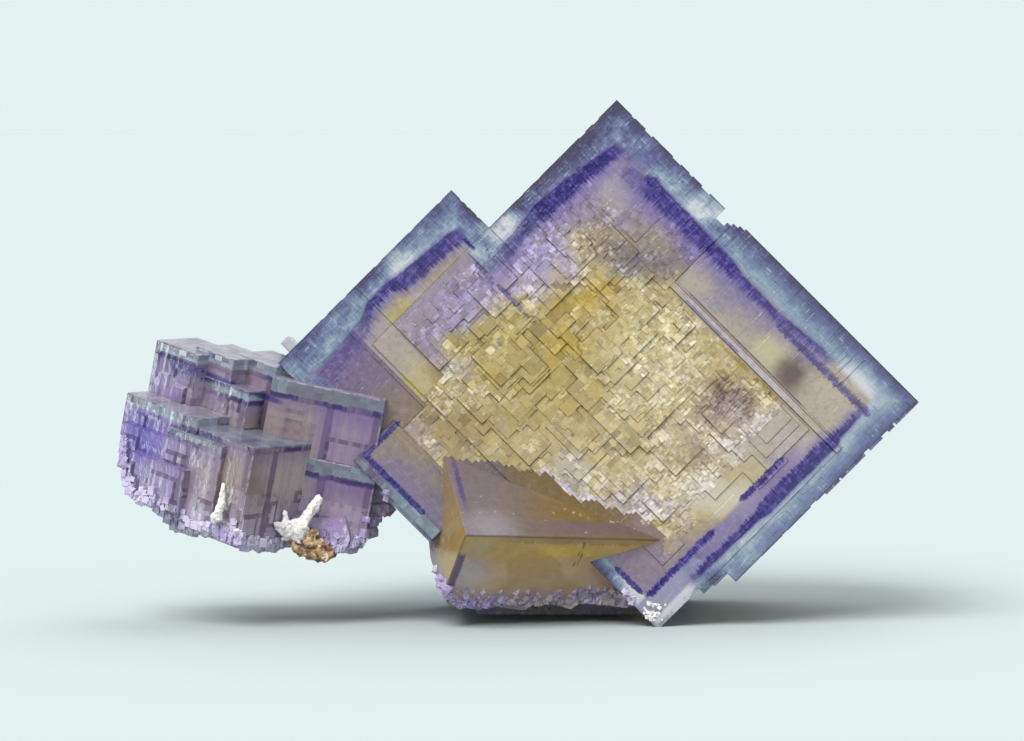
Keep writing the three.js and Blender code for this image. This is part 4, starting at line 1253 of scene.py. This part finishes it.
def front_relief():
    g = np.random.default_rng(77)
    P = jitter_lines(641.0, 716.5, 9.0, 0.2, g) + jitter_lines(716.5, 1268.0, 5.0, 0.24, g)[1:] \
        + jitter_lines(1268.0, 1288.0, 7.0, 0.2, g)[1:] + [1289.4, 1296.6, 1298.0, 1308.0, 1316.6, 1318.0]
    P = sorted(set(P) | {642.4, 717.9, 814.0, 815.4, 970.6, 972.0, 1008.6, 1010.0})
    Q = [-107.0, -105.6, -98.0, -91.0, -85.0, -83.6] + jitter_lines(-76.0, 22.0, 6.5, 0.2, g) + jitter_lines(22.0, 380.0, 5.0, 0.24, g)[1:] \
        + [383.0, 387.0, 393.0] + jitter_lines(396.0, 450.0, 6.0, 0.2, g) + jitter_lines(450.0, 515.6, 9.0, 0.2, g)[1:] + [517.0]
    Q = sorted(set(Q) | {28.0, 29.4, 128.0, 154.0, 260.1, 261.5})
    clean = lambda L: [v for k, v in enumerate(L) if k == 0 or v - L[k - 1] > 0.6 or v in KEEP]
    KEEP = {641.0, 716.5, 814.0, 972.0, 1010.0, -107.0, 1288.0, 1298.0, 1318.0, -85.0, 28.0, 128.0, 154.0, 261.5, 517.0}
    P, Q = np.array(clean(P)), np.array(clean(Q))
    ns, nt = len(P) - 1, len(Q) - 1
    pc, qc = (P[1:] + P[:-1]) / 2, (Q[1:] + Q[:-1]) / 2
    PC, QC = np.meshgrid(pc, qc, indexing="ij")
    in_m = (PC > 716.5) & (PC < 1318) & (QC > 28) & (QC < 517)
    in_m &= ((PC < 1298) | (QC > 154)) & ((PC < 1288) | (QC > 128))
    in_s = (PC > 641) & (PC < 1010) & (QC > -85) & (QC < 261.5)
    in_t = (PC > 814) & (PC < 972) & (QC > -107) & (QC < 0)
    inside = in_m | in_s | in_t
    smooth = np.vectorize(is_smooth)(PC, QC)

    plates = list(PLATES) + [(1240, 296, 96, 84, 0.16), (1226, 306, 78, 68, 0.14), (1212, 322, 58, 50, 0.12)]
    for _ in range(200):
        p, q = g.uniform(735, 1235), g.uniform(30, 376)
        k = g.uniform(0.5, 1.0) if (p + q) / 2 < 640 else g.uniform(0.3, 0.8)
        lp, lq = k * g.uniform(18, 70), k * g.uniform(18, 70)
        if not is_smooth(p, q) and not is_smooth(p - lp, q) and not is_smooth(p, q + lq):
            plates.append((p, q, lp, lq, g.uniform(0.07, 0.2)))
    # region number and plane (height, slope along p, slope along q) of each cell
    base = np.where(in_m & ~((PC < 716.5) | (QC < 28)), 0.0, -0.35)
    base = np.where((QC > 383) & (QC < 393) & (PC > 955) & (PC < 1289), 0.32, base)
    base = np.where((PC > 1289) | ((QC > 396) & (PC > 955)), base - 0.12, base)
    base = np.where((PC < 833) & (QC < 70) & in_s, base - 0.16, base)
    base = np.where((QC < 18) & (PC < 833) & in_s, base - 0.1, base)
    base = np.where(in_t & (QC < -26), 0.30 - 0.5 * np.clip((QC + 80) / 50, 0, 1), base)
    region = np.where(in_t & (QC < -26), 900, (base * 100).round().astype(int) + 1000)
    A = base.copy()
    SP, SQ = np.zeros_like(A), np.zeros_like(A)
    for n, (pt, qt, lp, lq, h) in enumerate(plates):
        m = (PC > pt - lp) & (PC < pt) & (QC > qt) & (QC < qt + lq) & inside
        if not m.any():
            continue
        i = int(np.clip(np.searchsorted(P, pt) - 1, 0, ns - 1))
        j = int(np.clip(np.searchsorted(Q, qt), 0, nt - 1))
        i, j = min(i, ns - 1), min(j, nt - 1)
        root = A[i, j] + SP[i, j] * (pt - pc[i]) + SQ[i, j] * (qt - qc[j])
        sp, sq = h * 0.5 / lp, -h * 0.5 / lq
        top = root + h + sp * (PC - pt) + sq * (QC - qt)
        m &= top > A
        A[m] = top[m]
        SP[m], SQ[m] = sp, sq
        region[m] = 2000 + n

    FR = np.array([[frost((a + b) / 2, (a - b) / 2) for b in qc] for a in pc])

    def size_of(i, j):
        if smooth[i, j]:
            if pc[i] > 1284 or qc[j] > 472 or pc[i] < 738:
                return 3, 3
            return 9, 9
        x, y = (pc[i] + qc[j]) / 2, (pc[i] - qc[j]) / 2
        if x > 640 or y < 262:
            return 1.2, 1.2
        if FR[i, j] < 0.38:
            return (5, 4) if region[i, j] % 2 else (3, 4)
        return 1.8, 1.6
    level = (FR > 0.38).astype(int)
    gid, k = groups(ns, nt, region * 4 + smooth * 2 + level, size_of, g)
    amount = np.zeros(k)
    amount[gid.ravel()] = FR.ravel()
    up = g.gamma(1.3, 0.018, k) * (0.5 + 1.2 * amount)
    ta, tb = g.normal(0, 0.0075, k) * (0.4 + amount), g.normal(0, 0.0075, k) * (0.4 + amount)
    tn = np.clip(0.08 + 0.62 * amount + g.normal(0, 0.20, k) * (0.35 + 0.65 * amount), 0.06, 1.0)
    gp, gq = np.zeros(k), np.zeros(k)
    cnt = np.zeros(k)
    np.add.at(gp, gid, PC), np.add.at(gq, gid, QC), np.add.at(cnt, gid, 1)
    gp, gq = gp / cnt, gq / cnt
    H = np.zeros((ns, nt, 4))
    quiet = g.random(k) < 0.45
    live = np.where(smooth, np.where(quiet[gid], 0.0, np.where((PC > 1284) | (QC > 450) | (PC < 742), 0.55, 0.25)), 1.0)
    for c, (a, b) in enumerate(((0, 0), (1, 0), (1, 1), (0, 1))):
        pp, qq = P[a:ns + a][:, None], Q[b:nt + b][None, :]
        H[:, :, c] = A + SP * (pp - PC) + SQ * (qq - QC) + live * (
            up[gid] + np.clip(ta[gid] * (pp - gp[gid]) + tb[gid] * (qq - gq[gid]), -0.12, 0.12))
    tone = np.where(smooth, 0.0, tn[gid])
    paint = np.zeros((ns, nt, 3))
    gtint = g.normal(0, 1, (k, 3))
    rim_tint = np.clip(g.normal(0.5, 0.17, k), 0, 1)
    for i in range(ns):
        for j in range(nt):
            if inside[i, j]:
                c = np.array(ground((pc[i] + qc[j]) / 2, (pc[i] - qc[j]) / 2))
                if not smooth[i, j]:
                    c = c * (1 + 0.12 * gtint[gid[i, j], 0]) * (1 + 0.05 * gtint[gid[i, j], 1] * np.array([0.2, 0, -1.6]))
                    c = c * np.array([1.05, 1.03, 1.20])
                m = min(pc[i] - 716.5, 1318 - pc[i], 517 - qc[j])
                if in_s[i, j]:
                    m = max(m, min(pc[i] - 641.0, 261.5 - qc[j], 1010 - pc[i]))
                if m < 33 and not in_t[i, j]:
                    c = np.full(3, rim_tint[gid[i, j]])
                paint[i, j] = np.clip(c, 0.0, 1.0)
    return relief("front", P, Q, inside, H, tone, lambda p, q, h: tuple(C45(p, q, h)), -3.0, MATS, M_FACE,
                  edge=0.10, side=M_SIDE, region=region, paint=paint)


def chips():
    """Small notches out of the long edges, and the larger break at the upper right."""
    g = np.random.default_rng(9)
    s = Soup()

    def cut(p0, p1, q0, q1, w0=-60.0, w1=6.0):
        o = C45(p0, q0, w0)
        s.box(o, C45(p1, q0, w0) - o, C45(p0, q1, w0) - o, C45(p0, q0, w1) - o, M_SIDE)
    def along(a, b, step, put, most):
        t = a
        while t < b:
            t += g.uniform(0.3, 2.2) * step
            ln = g.uniform(2.0, 16.0)
            if t + ln < b:
                put(t, t + ln, most * g.uniform(0.25, 1) ** 2, -60.0 if g.random() < 0.5 else -g.uniform(2, 14))
            t += ln + 1.0
    along(728, 926, 10, lambda a, b, k, w: cut(a, b, 517 - k, 560, w), 2.6)
    along(985, 1290, 34, lambda a, b, k, w: cut(a, b, 517 - k, 560, w), 1.5)
    along(210, 490, 26, lambda a, b, k, w: cut(1318 - k, 1340, a, b, w), 2.0)
    along(275, 505, 24, lambda a, b, k, w: cut(700, 716.5 + k, a, b, w), 1.8)
    along(-70, 250, 26, lambda a, b, k, w: cut(620, 641 + k, a, b, w), 2.0)
    along(650, 712, 16, lambda a, b, k, w: cut(a, b, 261.5 - k, 268, w), 1.6)
    return s.object("tmp", MATS)


def build_cluster():
    ob = union_all(facing_blocks(), "fluorite_cluster_body", MATS)
    boolean(ob, front_relief())
    boolean(ob, chips(), "DIFFERENCE")
    for p0, p1, q0 in ((934, 950, 498), (949, 957, 505), (956, 966, 510), (965, 975, 514)):
        gap = Soup()
        o = C45(p0, q0, -60)
        gap.box(o, C45(p1, q0, -60) - o, C45(p0, 560, -60) - o, C45(p0, q0, 6) - o, M_SIDE)
        boolean(ob, gap.object("tmp", MATS), "DIFFERENCE")
    # the twin corner, kept inside the outline of the foot
    e1, e2, e3 = twin_axes()
    t = Soup()
    t.cut_box(D(466, 533, 10.5), e1 * 232 * U, e2 * 200 * U, e3 * 112 * U, 0.12, M_TWIN)
    tw = t.object("tmp", MATS)
    room = Soup()
    prism(room, [(380, 300), (380, 470), (428, 540), (430, 559), (435, 574), (441, 590), (449, 606),
                 (700, 606), (900, 500), (900, 300)], 20, -30, M_DRUZY)
    boolean(tw, room.object("tmp2", MATS), "INTERSECT")
    boolean(ob, tw)
    lf = union_all([lambda s, k=k: left_block(s, *k) for k in LEFT], "tmp", MATS)
    for br in left_bricks():
        boolean(lf, br)
    boolean(ob, lf)
    pale = Soup()
    block45(pale, 622, 700, -64, -49, -4, -19, mat=M_DRUZY)
    boolean(ob, pale.object("tmp", MATS))
    foot = Soup()
    prism(foot, [(124, 440), (117, 452), (122, 462), (120, 480), (127, 492), (137, 501), (148, 506),
                 (158, 509), (160, 518), (173, 530), (195, 537), (218, 527), (221, 538), (237, 543),
                 (252, 548), (265, 553), (277, 552), (287, 540), (297, 532), (318, 540), (330, 556),
                 (345, 553), (357, 549), (358, 537), (371, 531), (377, 520), (389, 509), (400, 480),
                 (380, 430), (300, 420), (200, 420)], -5, -19, M_DRUZY)
    boolean(ob, foot.object("tmp", MATS))
    foot = Soup()
    prism(foot, [(292, 518), (290, 536), (297, 532), (318, 540), (330, 555), (343, 552), (350, 540), (345, 518)],
          -1.6, -12, M_DRUZY)
    boolean(ob, foot.object("tmp", MATS))
    foot = Soup()
    prism(foot, [(429, 544), (430, 559), (435, 574), (440, 590), (447, 601), (456, 608), (478, 612),
                 (494, 609), (516, 611), (526, 612), (533, 604), (551, 605), (571, 611), (581, 605),
                 (605, 607), (628, 610), (650, 590), (620, 520), (440, 520)], -6, -33, M_DRUZY)
    boolean(ob, foot.object("tmp", MATS))
    foot = Soup()
    prism(foot, [(466, 596), (474, 612), (482, 640), (655, 660), (662, 600), (560, 560), (480, 570)],
          -19, -41, M_DRUZY)
    boolean(ob, foot.object("tmp", MATS))
    g = np.random.default_rng(5)
    scatter(ob, druzy_spots(g), g)
    ob = settle(ob)
    flat = Soup()
    flat.box((-0.2, -0.2, -0.05), (0.4, 0, 0), (0, 0.4, 0), (0, 0, 0.05))
    boolean(ob, flat.object("tmp", MATS), "DIFFERENCE")
    drop_specks(ob)
    return ob


def drop_specks(ob, least=200):
    """Takes out the loose specks that the cuts leave behind."""
    bm = bmesh.new()
    bm.from_mesh(ob.data)
    seen, specks = set(), []
    for v in bm.verts:
        if v in seen:
            continue
        seen.add(v)
        group = [v]
        for a in group:
            for e in a.link_edges:
                b = e.other_vert(a)
                if b not in seen:
                    seen.add(b)
                    group.append(b)
        if len(group) < least:
            specks += group
    bmesh.ops.delete(bm, geom=specks, context="VERTS")
    bm.to_mesh(ob.data)
    bm.free()
    ob.data.update()


body = build_cluster()
print("body faces", len(body.data.polygons), "tris", sum(len(p.vertices) - 2 for p in body.data.polygons))
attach(body, "root")
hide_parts("fluorite_cluster")

# ---------------------------------------------------------------------------
# colour zones sealed inside the cubes
# ---------------------------------------------------------------------------


def layer45(name, mat, outer, inner=None):
    """The space between two lists of joined boxes (p0, p1, q0, q1, front, back)."""
    nest = lambda parts, nm: union_all([lambda s, a=a: block45(s, *a, r=0.02) for a in parts], nm, [mat])
    ob = nest(outer, name)
    if inner:
        boolean(ob, nest(inner, "tmp"), "DIFFERENCE")
    settle(ob)
    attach(ob, "root")
    return ob


purple = make_zone("zone_purple", (0.062, 0.078, 0.038))
yellow = make_zone("zone_yellow", (0.0035, 0.0085, 0.0330))
layer45("zone_purple_line", purple,
        [(743, 1281, 56, 473, -3.4, -40.6), (674, 980, -40, 222, -3.4, -32.6)],
        [(752, 1274, 64, 465, -4.1, -39.9), (683, 972, -32, 214, -4.1, -31.9)])
layer45("zone_yellow_core", yellow, [(806, 1228, 118, 427, -7.0, -35.0), (731, 910, 5, 172, -7.0, -27.0)])

# ---------------------------------------------------------------------------
# the other minerals keep their places
# ---------------------------------------------------------------------------
def make_white():
    n = Nodes("white_growth")
    v = n.noise(n.pos(), 900.0, 5.0, 0.6)
    col = n.mix(n.span(v, 0.35, 0.62), srgb(206, 194, 192), srgb(240, 236, 232))
    pr = n.new("ShaderNodeBsdfPrincipled")
    n.put(pr.inputs["Base Color"], col)
    n.put(pr.inputs["Roughness"], n.span(v, 0.3, 0.7, 0.45, 0.7))
    n.put(pr.inputs["Normal"], n.bump(n.noise(n.pos(), 2500.0, 4.0, 0.7), 0.5, 0.15))
    n.nt.links.new(pr.outputs[0], n.out.inputs["Surface"])
    return n.mat


def make_crust():
    n = Nodes("ochre_crust")
    v = n.noise(n.pos(), 700.0, 5.0, 0.65)
    col = n.ramp(v, [(0.34, srgb(54, 38, 38)), (0.43, srgb(116, 84, 62)), (0.54, srgb(186, 152, 108)),
                     (0.66, srgb(238, 226, 208))])
    pr = n.new("ShaderNodeBsdfPrincipled")
    n.put(pr.inputs["Base Color"], col)
    n.put(pr.inputs["Roughness"], n.span(v, 0.3, 0.7, 0.5, 0.8))
    n.put(pr.inputs["Normal"], n.bump(n.noise(n.pos(), 1800.0, 5.0, 0.7), 0.7, 0.3))
    n.nt.links.new(pr.outputs[0], n.out.inputs["Surface"])
    return n.mat


def growth(name, node, mat, rods, lumps, knob, rough, seed):
    """Overlapping knobs along rods and round lumps, joined and roughened."""
    g = np.random.default_rng(seed)
    bm = bmesh.new()

    def ball(c, r):
        n = len(bm.verts)
        bmesh.ops.create_icosphere(bm, subdivisions=2, radius=r, matrix=Matrix.Translation(Vector(c)))
    for (a, b, r0, r1) in rods:
        a, b = D(*a), D(*b)
        n = max(3, int(np.linalg.norm(b - a) / (0.42 * max(r0, r1))))
        for i in range(n + 1):
            t = i / n
            r = r0 + (r1 - r0) * t
            c = a + (b - a) * t
            ball(c, r * 0.86)
            for _ in range(knob):
                v = g.normal(0, 1, 3)
                ball(c + v / np.linalg.norm(v) * r * g.uniform(0.5, 0.85), r * g.uniform(0.22, 0.5))
    for (x, y, w, r) in lumps:
        c = D(x, y, w)
        ball(c, r * 0.85)
        for _ in range(knob * 7):
            v = g.normal(0, 1, 3)
            ball(c + v / np.linalg.norm(v) * r * g.uniform(0.55, 0.9), r * g.uniform(0.16, 0.42))
    me = bpy.data.meshes.new(name)
    bm.to_mesh(me)
    bm.free()
    ob = bpy.data.objects.new(name, me)
    scene.collection.objects.link(ob)
    mod = ob.modifiers.new("r", "REMESH")
    mod.mode, mod.voxel_size = "VOXEL", 0.13
    dg = bpy.context.evaluated_depsgraph_get()
    new = bpy.data.meshes.new_from_object(ob.evaluated_get(dg))
    ob.modifiers.clear()
    ob.data = new
    bpy.data.meshes.remove(me)
    for v in new.vertices:
        c = Vector(v.co)
        k = noise3.noise(c * 2.1) * 0.6 + noise3.noise(c * 5.0) * 0.4
        v.co = c + Vector(v.normal) * rough * k
    new.materials.append(mat)
    settle(ob, 60)
    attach(ob, "root")
    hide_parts(node)
    return ob


white, ochre = make_white(), make_crust()
growth("white_sprig_right_grown", "white_sprig_right", white,
       [((298, 530, 0.6), (318, 500, 0.2), 1.0, 0.85), ((286, 528, 0.2), (285, 512, 0.6), 0.9, 0.35),
        ((283, 529, 0.6), (277, 524, 1.4), 1.0, 0.5), ((294, 532, 0.0), (300, 541, 0.4), 1.2, 0.8)],
       [(289, 531, -0.6, 1.7), (299, 529, 0.4, 1.6)], 2, 0.28, 3)
growth("white_sprig_left_grown", "white_sprig_left", white,
       [((226, 484, 7.2), (224, 503, 6.9), 0.35, 0.7), ((224, 502, 6.9), (219, 517, 6.6), 0.7, 0.8)],
       [(218, 516, 6.4, 1.0)], 2, 0.22, 4)
growth("ochre_crust_grown", "ochre_crust", ochre, [],
       [(308, 545, -0.6, 2.2), (318, 551, -1.0, 1.9), (299, 543, -0.3, 1.5), (311, 536, -0.4, 1.4),
        (327, 553, -1.4, 1.4)], 3, 0.34, 5)

# ---------------------------------------------------------------------------
# floor, light, camera
# ---------------------------------------------------------------------------
BG = tuple(c * 1.02 for c in srgb(228, 242, 242))
me = bpy.data.meshes.new("floor")
R = 14.0
me.from_pydata([(-R, -R, 0), (R, -R, 0), (R, R, 0), (-R, R, 0)], [], [(0, 1, 2, 3)])
floor = bpy.data.objects.new("floor", me)
scene.collection.objects.link(floor)
fn = Nodes("floor")
pr = fn.new("ShaderNodeBsdfDiffuse")
pr.inputs["Color"].default_value = (0.387, 0.440, 0.429, 1)
fn.nt.links.new(pr.outputs[0], fn.out.inputs["Surface"])
me.materials.append(fn.mat)

world = bpy.data.worlds.new("studio")
scene.world = world
world.use_nodes = True
wt = world.node_tree
wt.nodes.clear()
wo = wt.nodes.new("ShaderNodeOutputWorld")
bg = wt.nodes.new("ShaderNodeBackground")
tc = wt.nodes.new("ShaderNodeTexCoord")
sep = wt.nodes.new("ShaderNodeSeparateXYZ")
wt.links.new(tc.outputs["Generated"], sep.inputs[0])
ramp = wt.nodes.new("ShaderNodeValToRGB")
mr = wt.nodes.new("ShaderNodeMapRange")
mr.inputs["From Min"].default_value = -1.0
wt.links.new(sep.outputs["Z"], mr.inputs["Value"])
wt.links.new(mr.outputs[0], ramp.inputs[0])
els = ramp.color_ramp.elements
els[0].position, els[0].color = 0.0, (*[c * 0.984 for c in BG], 1)
els[1].position, els[1].color = 0.60, (*[c * 0.984 for c in BG], 1)
e = els.new(0.72)
e.color = (0.66, 0.70, 0.74, 1)
e = els.new(1.0)
e.color = (0.92, 0.94, 0.98, 1)
wt.links.new(ramp.outputs[0], bg.inputs["Color"])
wt.links.new(bg.outputs[0], wo.inputs[0])


def sun(name, azimuth, elevation, strength, angle, colour=(1, 1, 1)):
    """Parallel soft light from a direction; azimuth 0 is the viewer's side, 90 the right."""
    li = bpy.data.lights.new(name, "SUN")
    li.energy, li.angle, li.color = strength, math.radians(angle), colour
    ob = bpy.data.objects.new(name, li)
    scene.collection.objects.link(ob)
    a, e = math.radians(azimuth), math.radians(elevation)
    ob.rotation_euler = Vector((math.sin(a) * math.cos(e), -math.cos(a) * math.cos(e),
                                math.sin(e))).to_track_quat("Z", "Y").to_euler()
    return ob


sun("key", -28, 52, 3.5, 40)
sun("back", 150, 50, 1.3, 50)

LENS = 180.0
cam_data = bpy.data.cameras.new("camera")
cam_data.lens, cam_data.sensor_width = LENS, 36.0
cam = bpy.data.objects.new("camera", cam_data)
scene.collection.objects.link(cam)
dist = 1024 * U * LENS / 36.0
eye = TO_METRES @ Vector(D(512, 370.5, dist))
look = TO_METRES @ Vector(D(512, 370.5, 0))
up = (TO_METRES @ Vector(D(512, 300, 0)) - look).normalized()
zax = (eye - look).normalized()
xax = up.cross(zax).normalized()
m = Matrix((xax, zax.cross(xax), zax)).transposed().to_4x4()
m.translation = eye
cam.matrix_world = m
cam_data.clip_start, cam_data.clip_end = 0.01, 50.0
scene.camera = cam
scene.view_settings.view_transform = "Standard"
scene.cycles.max_bounces = 7
scene.cycles.diffuse_bounces = 1
scene.cycles.glossy_bounces = 3
scene.cycles.transmission_bounces = 7
